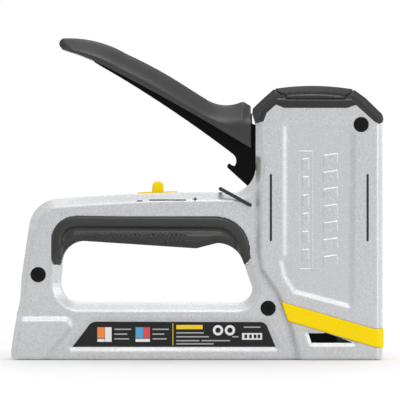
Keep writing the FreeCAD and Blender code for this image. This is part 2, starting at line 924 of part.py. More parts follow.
rail_end_cap()
keep(
    "pusher_rod",
    rod("pusher_rod", "<rod_radius>", "188", ("-94.2", "0", "6.2"), "X"),
)
pusher_block = box("pusher_block", ("80", "-5.3", "2.9"), ("16", "10.6", "11.6"))
pusher_legs = [
    box("pusher_right_leg", ("79", "-<rail_half> - 0.25", "2"), ("18", "1.4", "8.9")),
    box("pusher_left_leg", ("79", "<rail_half> - 1.15", "2"), ("18", "1.4", "8.9")),
]
pusher_bore = rod("pusher_bore", "<rod_radius> + 0.06", "20", ("78", "0", "6.2"), "X")
keep("staple_pusher", cut("staple_pusher", pusher_block, *pusher_legs, pusher_bore))

sleeve = rod("pusher_spring_outside", "2.4", "171.5", ("-92.2", "0", "6.2"), "X")
hole = rod("pusher_spring_inside", "1.5", "180", ("-94", "0", "6.2"), "X")
keep("pusher_spring", cut("pusher_spring", sleeve, hole))


def release_latch():
    """The yellow button over the rail's end."""
    body = new_body("release_latch")
    outside = (
        Outline(-101.6, 24.0)
        .arc((-101.9, 25.5), (-101.4, 26.9))
        .line((-93.6, 26.9), (-93.6, 22.2), (-99.4, 22.2), (-99.4, 24.0))
        .close()
    )
    pad_through(body, [outside], "13")
    return body


release_latch()

# --------------------------------------------------------------------------- checks and export
doc.recompute()
for thing in doc.Objects:
    if "Invalid" in thing.State or "Error" in thing.State:
        raise RuntimeError(f"{thing.Name} ({thing.Label}) did not build: {thing.State}")
os.makedirs("parts", exist_ok=True)
for label, thing in NODES.items():
    shape = thing.Shape
    if shape.isNull() or not shape.isValid():
        raise RuntimeError(f"{label} has no valid shape")
    shape.exportStep(f"parts/{label}.step")
    bounds = shape.BoundBox
    print(
        f"{label:20s} solids {len(shape.Solids)} volume {shape.Volume:9.1f}"
        f"  X {bounds.XMin:7.1f} {bounds.XMax:7.1f}  Y {bounds.YMin:6.1f} {bounds.YMax:6.1f}"
        f"  Z {bounds.ZMin:6.1f} {bounds.ZMax:6.1f}"
    )
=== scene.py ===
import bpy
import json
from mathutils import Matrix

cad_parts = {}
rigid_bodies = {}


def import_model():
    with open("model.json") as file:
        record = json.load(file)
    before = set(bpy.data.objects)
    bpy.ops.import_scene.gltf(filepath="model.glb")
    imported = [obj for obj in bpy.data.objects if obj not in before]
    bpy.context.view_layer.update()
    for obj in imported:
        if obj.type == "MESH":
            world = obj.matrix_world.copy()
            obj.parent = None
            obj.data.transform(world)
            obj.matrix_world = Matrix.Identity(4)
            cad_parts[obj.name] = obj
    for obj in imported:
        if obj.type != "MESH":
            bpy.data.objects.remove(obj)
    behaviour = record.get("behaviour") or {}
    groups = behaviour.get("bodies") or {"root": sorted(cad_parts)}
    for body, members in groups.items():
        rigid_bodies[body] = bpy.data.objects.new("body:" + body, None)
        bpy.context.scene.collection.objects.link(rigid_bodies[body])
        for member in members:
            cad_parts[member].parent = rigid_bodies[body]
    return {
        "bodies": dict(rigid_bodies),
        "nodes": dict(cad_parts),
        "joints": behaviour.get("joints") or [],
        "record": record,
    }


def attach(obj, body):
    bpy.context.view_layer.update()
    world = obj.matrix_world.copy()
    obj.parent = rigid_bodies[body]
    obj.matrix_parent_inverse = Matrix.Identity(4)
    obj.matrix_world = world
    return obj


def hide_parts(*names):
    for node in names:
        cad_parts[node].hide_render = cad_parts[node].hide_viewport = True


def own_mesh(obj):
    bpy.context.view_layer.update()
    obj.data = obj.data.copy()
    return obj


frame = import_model()

"""Looks of a hand staple gun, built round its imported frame.

The gun stands on its base with the nose towards +X. Y = 0 is the plane where the two cast
shells meet. Shapes are worked out in millimetres and turned into metres when a mesh is made.
"""

import json
import logging
import math
from dataclasses import dataclass, field
from enum import Enum
from typing import Callable, Optional, Sequence

import bpy
import numpy as np
from mathutils import Vector

LOG = logging.getLogger("staple_gun")
MM = 0.001
TINY = 1e-12                 # keeps a division by a zero length safe
SNAP_SHARE = 0.32            # grid points nearer to an edge than this share of the pitch move onto it
CORNER_SHARE = 0.9           # rim points nearer to a corner than this share of the pitch move onto it
CORNER_TURN = math.radians(14.0)
HAIR = 0.02                  # a gap, in millimetres, that is too small to see
Array = np.ndarray


class Side(Enum):
    """The two sides of the gun; the value is the sign of Y."""

    RIGHT = -1
    LEFT = 1


# ------------------------------------------------------------------ outlines and distances
class Outline:
    """A closed outline in the side view, X to the nose and Z up, made of lines and arcs."""

    def __init__(self, across: float, height: float) -> None:
        """Start the outline at a point."""
        self.points: list[tuple[float, float]] = [(across, height)]

    def line(self, *points: tuple[float, float]) -> "Outline":
        """Go straight through each of the points; returns the outline."""
        self.points.extend(points)
        return self

    def arc(self, middle: tuple[float, float], end: tuple[float, float], steps: int = 12) -> "Outline":
        """Go round the circle through the last point, middle and end.

        Args:
            middle: a point on the arc between its ends.
            end: where the arc stops.
            steps: how many straight pieces stand for it.

        Returns:
            The outline.
        """
        start = np.array(self.points[-1])
        a, b = np.array(middle) - start, np.array(end) - start
        twice = 2.0 * (a[0] * b[1] - a[1] * b[0])
        centre = start + np.array([b[1] * (a @ a) - a[1] * (b @ b), a[0] * (b @ b) - b[0] * (a @ a)]) / twice
        angles = [math.atan2(*(np.array(p) - centre)[::-1]) for p in (start, middle, end)]
        sweep = (angles[2] - angles[0]) % math.tau
        if (angles[1] - angles[0]) % math.tau > sweep:
            sweep -= math.tau
        turn = angles[0] + sweep * np.arange(1, steps + 1) / steps
        radius = float(np.linalg.norm(start - centre))
        spots = centre + radius * np.stack([np.cos(turn), np.sin(turn)], axis=1)
        self.points.extend(map(tuple, spots))
        return self

    def array(self) -> Array:
        """The outline's points, one row each."""
        return np.array(self.points, float)


def signed_distance(spots: Array, outline: Array) -> Array:
    """Distance from each spot to a closed outline, positive inside.

    The nearest point of every side is its start plus the side times the spot's share along it,
    held between 0 and 1. A spot is inside when a ray to the right crosses an odd number of sides.

    Args:
        spots: points, one row each.
        outline: the outline's points, one row each.

    Returns:
        One distance per spot.
    """
    nearest = np.full(len(spots), np.inf)
    inside = np.zeros(len(spots), bool)
    for start, end in zip(outline, np.roll(outline, -1, axis=0)):
        side = end - start
        share = np.clip(((spots - start) @ side) / max(side @ side, TINY), 0.0, 1.0)
        gap = spots - start - share[:, None] * side
        nearest = np.minimum(nearest, np.einsum("ij,ij->i", gap, gap))
        spans = (start[1] > spots[:, 1]) != (end[1] > spots[:, 1])
        crossing = start[0] + (spots[:, 1] - start[1]) * side[0] / (side[1] if side[1] else TINY)
        inside ^= spans & (spots[:, 0] < crossing)
    return np.where(inside, 1.0, -1.0) * np.sqrt(nearest)


def ramp(distance: Array, width: float | Array, ease: float = 0.16) -> Array:
    """Rise from 0 to 1 over a width, straight in the middle and rounded at both ends.

    Args:
        distance: how far in from the edge.
        width: where the rise is complete.
        ease: share of the width that each rounded end takes to either side.

    Returns:
        Values from 0 to 1.
    """
    share = distance / width
    low = (share + ease) ** 2 / (4.0 * ease)
    high = 1.0 - (1.0 + ease - share) ** 2 / (4.0 * ease)
    middle = np.where(share < ease, low, np.where(share > 1.0 - ease, high, share))
    return np.where(share <= -ease, 0.0, np.where(share >= 1.0 + ease, 1.0, middle))


def bar(spots: Array, across: float, height: float, wide: float, tall: float, radius: float) -> Array:
    """Signed distance to a rounded rectangle, positive inside.

    Args:
        spots: points, one row each.
        across: centre along X.
        height: centre along Z.
        wide: full size along X.
        tall: full size along Z.
        radius: of its corners.

    Returns:
        One distance per spot.
    """
    gap = np.abs(spots - (across, height)) - (wide / 2 - radius, tall / 2 - radius)
    outside = np.linalg.norm(np.maximum(gap, 0.0), axis=1)
    return radius - outside - np.minimum(gap.max(axis=1), 0.0)


def disc(spots: Array, centre: tuple[float, float], radius: float) -> Array:
    """Signed distance to a circle, positive inside."""
    return radius - np.linalg.norm(spots - centre, axis=1)


# ------------------------------------------------------------------ meshes
def make_mesh(name: str, spots: Array, faces: Sequence[Array], crease: float = 35.0) -> bpy.types.Object:
    """A mesh object from points in millimetres.

    Args:
        name: of the object and its mesh.
        spots: points, one row each.
        faces: arrays of corner numbers, one row per face; each array holds faces of one size.
        crease: edges that turn by more degrees than this stay sharp.

    Returns:
        The object, at the origin, smooth shaded.
    """
    mesh = bpy.data.meshes.new(name)
    corners = [row for block in faces for row in block.tolist()]
    mesh.from_pydata((spots * MM).tolist(), [], corners)
    mesh.validate()
    mesh.shade_smooth()
    mesh.set_sharp_from_angle(angle=math.radians(crease))
    thing = bpy.data.objects.new(name, mesh)
    bpy.context.scene.collection.objects.link(thing)
    return thing


def clipped_grid(lows: tuple[float, float], highs: tuple[float, float], pitch: float,
                 inside: Callable[[Array], Array]) -> tuple[Array, Array]:
    """A flat triangle grid cut cleanly along the line where inside() is zero.

    Grid points close to the line are moved onto it. A triangle that the line crosses is cut
    where the values at its corners, taken as a straight slope, reach zero.

    Args:
        lows: least X and Z.
        highs: greatest X and Z.
        pitch: grid spacing.
        inside: signed distance of points, positive where the surface is wanted.

    Returns:
        Points with one row each, and triangles that run anticlockwise seen from -Y.
    """
    across = np.arange(lows[0], highs[0] + pitch, pitch)
    heights = np.arange(lows[1], highs[1] + pitch, pitch)
    spots = np.stack(np.meshgrid(across, heights, indexing="ij"), axis=-1).reshape(-1, 2)
    value = inside(spots)
    near = np.abs(value) < SNAP_SHARE * pitch
    step = 0.02 * pitch
    slope = np.stack(
        [(inside(spots[near] + shift) - value[near]) / step for shift in ((step, 0.0), (0.0, step))], axis=1
    )
    steep = np.maximum(np.einsum("ij,ij->i", slope, slope), 0.25)
    spots[near] -= (value[near] / steep)[:, None] * slope
    value[near] = 1e-9

    rows = len(heights)
    first = (np.arange(len(across) - 1)[:, None] * rows + np.arange(rows - 1)).ravel()
    a, b, c, d = first, first + rows, first + rows + 1, first + 1
    triangles = np.concatenate([np.stack([a, b, c], 1), np.stack([a, c, d], 1)])
    wanted = value[triangles] > 0
    count = wanted.sum(axis=1)
    whole = triangles[count == 3]

    def lead(rows_in: Array, flags: Array) -> Array:
        """Turn each triangle so that its odd corner comes first."""
        odd = np.argmax(flags, axis=1)
        return rows_in[np.arange(len(rows_in))[:, None], (odd[:, None] + np.arange(3)) % 3]

    one = lead(triangles[count == 1], wanted[count == 1])
    two = lead(triangles[count == 2], ~wanted[count == 2])
    pairs = np.sort(np.concatenate([one[:, [0, 1]], one[:, [0, 2]], two[:, [0, 1]], two[:, [0, 2]]]), axis=1)
    unique, number = np.unique(pairs, axis=0, return_inverse=True)
    share = value[unique[:, 0]] / (value[unique[:, 0]] - value[unique[:, 1]])
    cuts = spots[unique[:, 0]] + share[:, None] * (spots[unique[:, 1]] - spots[unique[:, 0]])
    number = number.ravel() + len(spots)
    ends = np.split(number, np.cumsum([len(one), len(one), len(two)]))
    parts = [
        whole,
        np.stack([one[:, 0], ends[0], ends[1]], 1),
        np.stack([ends[2], two[:, 1], two[:, 2]], 1),
        np.stack([ends[2], two[:, 2], ends[3]], 1),
    ]
    triangles = np.concatenate(parts)
    spots = np.concatenate([spots, cuts])
    first, second, third = (spots[triangles[:, corner]] for corner in range(3))
    area = np.cross(second - first, third - first)
    triangles = triangles[np.abs(area) > 1e-7]
    used, triangles = np.unique(triangles, return_inverse=True)
    return spots[used], triangles.reshape(-1, 3)


def rim_edges(triangles: Array) -> Array:
    """The directed edges that only one triangle has.

    Args:
        triangles: corner numbers, one row each.

    Returns:
        The two ends of each edge, one row each.
    """
    edges = np.concatenate([triangles[:, [0, 1]], triangles[:, [1, 2]], triangles[:, [2, 0]]])
    ordered = np.sort(edges, axis=1)
    _, number, count = np.unique(ordered, axis=0, return_inverse=True, return_counts=True)
    return edges[count[number.ravel()] == 1]


def sharp_corners(*outlines: Array) -> Array:
    """The points of closed outlines where they turn by more than CORNER_TURN.

    Args:
        outlines: closed outlines.

    Returns:
        The corner points, one row each.
    """
    found = []
    for outline in outlines:
        ahead = np.roll(outline, -1, axis=0) - outline
        ahead /= np.linalg.norm(ahead, axis=1)[:, None]
        behind = np.roll(ahead, 1, axis=0)
        found.append(outline[np.einsum("ij,ij->i", ahead, behind) < math.cos(CORNER_TURN)])
    return np.concatenate(found)


@dataclass
class Relief:
    """A closed solid with a shaped outer face, a shaped inner face and a wall between their rims.

    The outer face is y = side * outer(x, z) and the inner one y = side * inner(x, z), both over
    the same clipped grid in the side view.
    """

    side: Side
    lows: tuple[float, float]
    highs: tuple[float, float]
    inside: Callable[[Array], Array]
    outer: Callable[[Array], Array]
    inner: Callable[[Array], Array]
    pitch: float = 0.7
    corners: Optional[Array] = None

    def solid(self) -> tuple[Array, list[Array]]:
        """The closed solid in millimetres.

        Returns:
            Its points, and its faces by size.
        """
        spots, triangles = clipped_grid(self.lows, self.highs, self.pitch, self.inside)
        sign, count = self.side.value, len(spots)
        rim = rim_edges(triangles)
        if self.corners is not None:
            ring = np.unique(rim)
            gaps = np.linalg.norm(spots[ring][None] - self.corners[:, None], axis=2)
            close = gaps.min(axis=1) < CORNER_SHARE * self.pitch
            spots[ring[gaps.argmin(axis=1)[close]]] = self.corners[close]
        shells = [
            np.stack([spots[:, 0], sign * half(spots), spots[:, 1]], 1) for half in (self.outer, self.inner)
        ]
        start, end = rim[:, 0], rim[:, 1]
        walls = np.stack([start, start + count, end + count, end], 1)
        faces = [triangles, triangles[:, ::-1] + count, walls]
        if self.side is Side.LEFT:
            faces = [block[:, ::-1] for block in faces]
        return np.concatenate(shells), faces


def sheet_mesh(name: str, grid: Array, capped: bool = True, crease: float = 40.0) -> bpy.types.Object:
    """A mesh from rings of points in space, each ring closed on itself.

    Args:
        name: of the object.
        grid: points by ring, place in the ring and X, Y, Z.
        capped: whether the first and last rings are closed with a fan to their middle.
        crease: edges that turn by more degrees than this stay sharp.

    Returns:
        The object.
    """
    rows, columns = grid.shape[:2]
    first = np.arange(rows - 1)[:, None] * columns
    here = np.arange(columns)[None, :]
    following = (here + 1) % columns
    quads = np.stack([first + here, first + following, first + columns + following, first + columns + here], -1)
    spots, faces = grid.reshape(-1, 3), [quads.reshape(-1, 4)]
    if capped:
        middle = np.stack([grid[0].mean(axis=0), grid[-1].mean(axis=0)])
        ring, after = np.arange(columns), (np.arange(columns) + 1) % columns
        far = (rows - 1) * columns
        faces.append(np.stack([after, ring, np.full(columns, len(spots))], 1))
        faces.append(np.stack([far + ring, far + after, np.full(columns, len(spots) + 1)], 1))
        spots = np.concatenate([spots, middle])
    return make_mesh(name, spots, faces, crease)


def tube_grid(path: Array, radius: float, sides: int = 20) -> Array:
    """Rings of points round a path in space.

    Each ring lies square to the path. Its first direction is carried from ring to ring by taking
    away what points along the path, so the tube never twists.

    Args:
        path: points, one row each.
        radius: of the tube.
        sides: points in each ring.

    Returns:
        Points by ring, side and X, Y, Z.
    """
    along = np.gradient(path, axis=0)
    along /= np.linalg.norm(along, axis=1)[:, None]
    across = np.zeros_like(path)
    start = np.cross(along[0], (0.37, 0.21, 0.9))
    for number, direction in enumerate(along):
        start = start - (start @ direction) * direction
        start /= np.linalg.norm(start)
        across[number] = start
    other = np.cross(along, across)
    turn = np.linspace(0.0, math.tau, sides, endpoint=False)[None, :, None]
    return path[:, None] + radius * (np.cos(turn) * across[:, None] + np.sin(turn) * other[:, None])


def path_distance(spots: Array, path: Array) -> Array:
    """Distance from each spot to an open run of straight pieces.

    Args:
        spots: points, one row each.
        path: the run's points, one row each.

    Returns:
        One distance per spot.
    """
    nearest = np.full(len(spots), np.inf)
    for start, end in zip(path[:-1], path[1:]):
        side = end - start
        share = np.clip(((spots - start) @ side) / max(side @ side, TINY), 0.0, 1.0)
        gap = spots - start - share[:, None] * side
        nearest = np.minimum(nearest, np.einsum("ij,ij->i", gap, gap))
    return np.sqrt(nearest)


def prism_mesh(name: str, pieces: Sequence[tuple[Array, float, float]]) -> bpy.types.Object:
    """Straight plates cut from outlines in the side view, as one object.

    Args:
        name: of the object.
        pieces: for each plate, its outline and the two Y values that it lies between.

    Returns:
        The object.
    """
    spots, faces, start = [], [], 0
    for outline, near, far in pieces:
        low, high = min(near, far), max(near, far)
        turn = outline[:, 0] @ np.roll(outline[:, 1], -1) - outline[:, 1] @ np.roll(outline[:, 0], -1)
        ring = outline if turn > 0 else outline[::-1]
        count = len(ring)
        for depth in (low, high):
            spots.append(np.stack([ring[:, 0], np.full(count, depth), ring[:, 1]], 1))
        here = np.arange(count)
        after = (here + 1) % count
        faces.append((here + start)[None, :])
        faces.append((here[::-1] + start + count)[None, :])
        faces.append(np.stack([here, here + count, after + count, after], 1) + start)
        start += 2 * count
    return make_mesh(name, np.concatenate(spots), faces)


def box_outline(across: tuple[float, float], height: tuple[float, float]) -> Array:
    """The outline of an upright rectangle."""
    (left, right), (low, high) = across, height
    return np.array([(left, low), (right, low), (right, high), (left, high)])


def round_outline(centre: tuple[float, float], radius: float, sides: int = 40) -> Array:
    """The outline of a circle."""
    turn = np.linspace(0.0, math.tau, sides, endpoint=False)
    return np.stack([centre[0] + radius * np.cos(turn), centre[1] + radius * np.sin(turn)], 1)


# ------------------------------------------------------------------ outlines of the gun
@dataclass(frozen=True)
class Plan:
    """The outlines and places in the side view that several pieces share, in millimetres."""

    front: float = 104.2
    rear_screw: tuple[float, float] = (-89.5, 47.7)
    front_screw: tuple[float, float] = (39.9, 28.8)
    top_pin: tuple[float, float] = (92.1, 132.1)
    slots: tuple[float, float] = (41.35, 95.7)
    bail_pivot: tuple[float, float] = (29.6, 86.9)
    bail_bar: tuple[float, float] = (13.05, 96.05)

    def rear(self) -> Array:
        """Rear edge of the handle, from the base up."""
        outline = Outline(-103.4, 0.0).line((-104.6, 1.2), (-104.8, 4.0)).arc((-102.8, 17.5), (-99.6, 34.1))
        return outline.line((-98.9, 46.4), (-94.4, 76.8)).array()

    def top(self) -> Array:
        """Top edge of the handle, from the rear to the front housing."""
        outline = Outline(-94.4, 76.8).arc((-90.4, 84.7), (-80.7, 90.3)).arc((-45.0, 92.7), (-6.0, 94.1), 16)
        return outline.line((22.5, 94.1)).arc((28.7, 98.0), (32.9, 110.0)).array()

    def crown(self) -> Array:
        """Edge between the housing and its bumper, from rear to front."""
        outline = Outline(32.9, 133.0).line((37.2, 133.8), (39.1, 138.7), (44.2, 143.3), (48.8, 141.4), (84.3, 141.4))
        return outline.line((89.2, 143.1), (99.5, 133.8), (102.2, 132.3), (self.front, 132.3)).array()

    def silhouette(self) -> Array:
        """Whole outer edge of a shell."""
        return np.concatenate([self.rear(), self.top()[1:], self.crown(), [(self.front, 0.0)]])

    def housing_rear(self) -> Array:
        """Rear edge of the wide front housing, from its top down."""
        return np.array([(32.9, 133.0), (32.9, 60.0), (34.5, 50.0), (42.4, 38.4), (49.2, 24.3), (55.7, 0.0)])

    def housing(self) -> Array:
        """The wide front housing."""
        return np.concatenate([self.crown(), [(self.front, 0.0)], self.housing_rear()[::-1]])

    def hole_low(self) -> Array:
        """Lower part of the finger hole, from its rear to its front."""
        outline = Outline(-76.3, 52.9).line((-77.4, 43.0)).arc((-74.1, 34.9), (-66.0, 31.5))
        return outline.line((23.0, 31.5)).arc((28.9, 34.0), (31.2, 39.9)).line((26.8, 52.9)).array()

    def hole(self, wrap: float = 0.0) -> Array:
        """The finger hole.

        Args:
            wrap: how far its upper edge moves off the grip's finger side.

        Returns:
            The outline's points.
        """
        outline = Outline(26.8, 52.9).line((26.3 + wrap, 53.3))
        outline.arc((21.0 + 0.7 * wrap, 62.0 + 0.7 * wrap), (11.2, 65.4 + wrap))
        outline.line((-0.5, 62.4 + wrap), (-64.0, 66.6 + wrap))
        outline.arc((-72.9 - 0.7 * wrap, 62.6 + 0.7 * wrap), (-76.6 - wrap, 53.3))
        return np.concatenate([self.hole_low(), outline.array()[1:]])

    def grip_top(self) -> Array:
        """The grip's edge against the metal, from rear to front."""
        outline = Outline(-80.7, 53.3).line((-82.2, 57.0), (-82.2, 66.8)).arc((-78.1, 76.7), (-68.2, 80.8))
        return outline.line((11.0, 80.3)).arc((23.6, 75.1), (29.5, 61.0)).line((30.0, 57.0), (27.2, 53.3)).array()

    def grip_fingers(self) -> Array:
        """The grip's finger side, from front to rear."""
        outline = Outline(26.3, 53.6).arc((21.0, 62.0), (11.2, 65.4)).line((-0.5, 62.4), (-64.0, 66.6))
        return outline.arc((-72.9, 62.6), (-76.6, 53.6)).array()

    def grip(self) -> Array:
        """The rubber grip."""
        return np.concatenate([self.grip_top(), self.grip_fingers()])

    def cap_outer(self) -> Array:
        """The bumper's outer edge, from rear to front."""
        outline = Outline(31.2, 138.7).line((31.5, 141.4), (37.7, 147.3), (42.9, 151.8), (88.6, 151.4))
        return outline.line((94.6, 147.1), (102.7, 139.2)).arc((104.6, 136.2), (104.1, 133.2)).array()

    def cap(self) -> Array:
        """The bumper."""
        return np.concatenate([self.cap_outer(), self.crown()[-2::-1]])

    def cap_pad(self) -> Array:
        """The pad let into the top of the bumper."""
        outline = Outline(43.7, 152.3).arc((65.9, 153.9), (87.5, 152.0), 20)
        return outline.line((85.4, 149.3), (82.2, 146.7), (50.8, 146.8), (47.8, 149.3)).array()

    def band(self, gap: float = 0.0) -> Array:
        """The nose band.

        Args:
            gap: how far it is grown.

        Returns:
            The outline's points.
        """
        ahead = 104.8 + gap
        return np.array([
            (47.3 - 1.4 * gap, 32.6 + gap), (99.3, 17.4 + gap), (ahead, 17.4 + gap),
            (ahead, 6.9 - gap), (100.6, 6.9 - gap), (51.0 - gap, 21.7 - gap),
        ])

    def label(self) -> Array:
        """The label on the base."""
        outline = Outline(-70.2, 7.1).line((-61.9, 17.8)).arc((-59.6, 20.4), (-56.5, 21.2))
        return outline.line((35.3, 21.0)).arc((38.0, 20.2), (39.3, 18.6)).line((44.0, 7.1)).array()

    def panel(self) -> Array:
        """The recessed panel on the front housing.

        Returns:
            The outline's points.
        """
        outline = Outline(50.2, 134.4).line((78.4, 134.4)).arc((85.8, 131.3), (88.9, 123.9))
        outline.line((88.2, 32.2), (86.0, 28.6), (53.5, 37.2), (47.8, 46.0), (45.8, 56.0), (47.9, 59.0))
        return outline.line((47.9, 132.0)).array()

    def foot_inner(self) -> Array:
        """The raised foot pad's edge on the base, from rear to front."""
        outline = Outline(-104.6, 21.5).line((-75.0, 21.5)).arc((-72.8, 20.2), (-72.7, 18.2))
        return outline.line((-87.0, 0.0)).array()

    def foot(self) -> Array:
        """The raised pad over the rear of the base, carried on past the rear and the floor."""
        return np.concatenate([self.foot_inner(), [(-90.1, -4.0), (-112.0, -4.0), (-112.0, 21.5)]])

    def window(self) -> Array:
        """The sight window over the staples."""
        return np.array([(62.4, 14.9), (72.5, 14.9), (88.2, 9.4), (64.2, 9.4)])

    def lever_steel(self) -> Array:
        """The pressed steel lever.

        Returns:
            The outline's points.
        """
        outline = Outline(-58.0, 167.6).line((-60.0, 175.6)).arc((-30.0, 163.6), (4.2, 144.0), 20)
        outline.arc((12.7, 140.4), (22.0, 140.2)).line((30.9, 138.4), (31.0, 133.0), (38.0, 129.0), (57.5, 102.5))
        outline.arc((58.7, 97.1), (49.7, 88.1)).line((40.0, 90.2), (28.3, 97.9), (17.3, 107.9))
        outline.arc((17.1, 109.4), (18.3, 110.3)).arc((19.6, 109.4), (21.0, 108.9))
        outline.arc((22.1, 111.6), (20.4, 115.6)).line((17.3, 118.0))
        return outline.arc((-10.3, 137.8), (-43.6, 159.2), 20).array()

    def cover_top(self) -> Array:
        """Top edge of the lever's cover, from the tail to the front.

        Returns:
            The outline's points.
        """
        outline = Outline(-77.6, 176.5).arc((-77.6, 179.2), (-75.8, 180.9)).arc((-58.0, 179.4), (-40.0, 172.2))
        outline.arc((-22.8, 163.6), (-5.2, 153.0)).line((4.2, 147.1)).arc((14.5, 143.3), (24.4, 144.8))
        return outline.line((26.2, 145.2), (30.2, 142.7)).array()

    def cover_low(self) -> Array:
        """Lower edge of the lever's cover, from the front to the tail."""
        outline = Outline(30.2, 119.0).line((20.6, 124.8)).arc((-5.2, 139.9), (-58.1, 168.2), 24)
        return outline.line((-67.1, 171.8), (-76.1, 174.7)).array()

    def cover(self) -> Array:
        """The lever's cover."""
        return np.concatenate([self.cover_top(), self.cover_low()])


PLAN = Plan()


@dataclass(frozen=True)
class Bevel:
    """A sloping facet along an edge: how wide it is and how far it has dropped at the edge."""

    path: Array
    width: float
    drop: float
    ease: float = 0.16

    def depth(self, spots: Array) -> Array:
        """How far the surface lies below the flat face."""
        return self.drop * (1.0 - ramp(path_distance(spots, self.path), self.width, self.ease))


# ------------------------------------------------------------------ shaders
class Graph:
    """Adds and joins nodes in one tree."""

    def __init__(self, tree: bpy.types.NodeTree) -> None:
        """Work in a tree."""
        self.tree = tree

    def add(self, kind: str, **settings: object) -> bpy.types.Node:
        """Add a node and set its properties.

        Args:
            kind: the node's type.
            settings: its properties by name.

        Returns:
            The node.
        """
        node = self.tree.nodes.new(kind)
        for key, value in settings.items():
            setattr(node, key, value)
        return node

    def put(self, socket: bpy.types.NodeSocket, value: object) -> None:
        """Link a socket into another, or set its number.

        Args:
            socket: where it goes.
            value: a socket or a number.
        """
        if isinstance(value, bpy.types.NodeSocket):
            self.tree.links.new(value, socket)
        else:
            socket.default_value = value

    def math(self, operation: str, *values: object) -> bpy.types.NodeSocket:
        """One sum.

        Args:
            operation: which sum.
            values: sockets or numbers.

        Returns:
            Its result.
        """
        node = self.add("ShaderNodeMath", operation=operation)
        for socket, value in zip(node.inputs, values):
            self.put(socket, value)
        return node.outputs[0]

    def spread(self, value: object, low: float, high: float, to_low: float, to_high: float) -> bpy.types.NodeSocket:
        """Map a range onto another, held at its ends.

        Args:
            value: a socket.
            low: start of the range.
            high: its end.
            to_low: what low becomes.
            to_high: what high becomes.

        Returns:
            The result.
        """
        node = self.add("ShaderNodeMapRange")
        names = ("Value", "From Min", "From Max", "To Min", "To Max")
        for name, number in zip(names, (value, low, high, to_low, to_high)):
            self.put(node.inputs[name], number)
        return node.outputs["Result"]

    def blend(self, share: object, first: object, second: object) -> bpy.types.NodeSocket:
        """Mix two colours.

        Args:
            share: how much of the second.
            first: a colour.
            second: the other colour.

        Returns:
            The colour.
        """
        node = self.add("ShaderNodeMix", data_type="RGBA")
        for number, value in ((0, share), (6, first), (7, second)):
            self.put(node.inputs[number], value)
        return node.outputs[2]

    def noise(self, where: object, scale: object, detail: float = 2.0) -> bpy.types.NodeSocket:
        """Soft noise from 0 to 1.

        Args:
            where: coordinates.
            scale: cells per metre.
            detail: octaves of finer noise.

        Returns:
            The value.
        """
        node = self.add("ShaderNodeTexNoise")
        node.inputs["Detail"].default_value = detail
        self.put(node.inputs["Vector"], where)
        self.put(node.inputs["Scale"], scale)
        return node.outputs["Fac"]


class Effect(Enum):
    """Shared shader groups."""

    GRAIN = "surface_grain"
    WEAR = "soft_wear"


def effect_group(effect: Effect) -> bpy.types.NodeTree:
    """The node group for an effect, made once.

    GRAIN gives a fine cell value, a few bright flecks and a bumped normal. WEAR gives a broad
    cloudy value, for grime and rubbed patches.

    Args:
        effect: which group.

    Returns:
        The group.
    """
    found = bpy.data.node_groups.get(effect.value)
    if found:
        return found
    tree = bpy.data.node_groups.new(effect.value, "ShaderNodeTree")
    graph = Graph(tree)
    face = tree.interface
    face.new_socket("Vector", in_out="INPUT", socket_type="NodeSocketVector")
    face.new_socket("Scale", in_out="INPUT", socket_type="NodeSocketFloat")
    face.new_socket("Depth", in_out="INPUT", socket_type="NodeSocketFloat")
    face.new_socket("Value", in_out="OUTPUT", socket_type="NodeSocketFloat")
    if effect is Effect.GRAIN:
        face.new_socket("Flecks", in_out="OUTPUT", socket_type="NodeSocketFloat")
        face.new_socket("Normal", in_out="OUTPUT", socket_type="NodeSocketVector")
    given, result = graph.add("NodeGroupInput"), graph.add("NodeGroupOutput")
    where, scale, depth = given.outputs[:3]
    if effect is Effect.WEAR:
        cloud = graph.noise(where, scale, 5.0)
        graph.put(result.inputs["Value"], graph.spread(graph.math("MULTIPLY", cloud, depth), 0.35, 0.75, 0.0, 1.0))
        return tree
    soft = graph.noise(where, scale, 3.0)
    cells = graph.add("ShaderNodeTexVoronoi")
    graph.put(cells.inputs["Vector"], where)
    graph.put(cells.inputs["Scale"], scale)
    chance = graph.add("ShaderNodeSeparateColor")
    graph.put(chance.inputs[0], cells.outputs["Color"])
    height = graph.math("ADD", soft, graph.math("MULTIPLY", cells.outputs["Distance"], 0.5))
    bump = graph.add("ShaderNodeBump")
    bump.inputs["Distance"].default_value = 0.0002
    graph.put(bump.inputs["Strength"], depth)
    graph.put(bump.inputs["Height"], height)
    graph.put(result.inputs["Value"], graph.spread(soft, 0.3, 0.7, 0.0, 1.0))
    graph.put(result.inputs["Flecks"], graph.spread(chance.outputs[0], 0.8, 1.0, 0.0, 1.0))
    graph.put(result.inputs["Normal"], bump.outputs["Normal"])
    return tree


Colour = tuple[float, float, float]


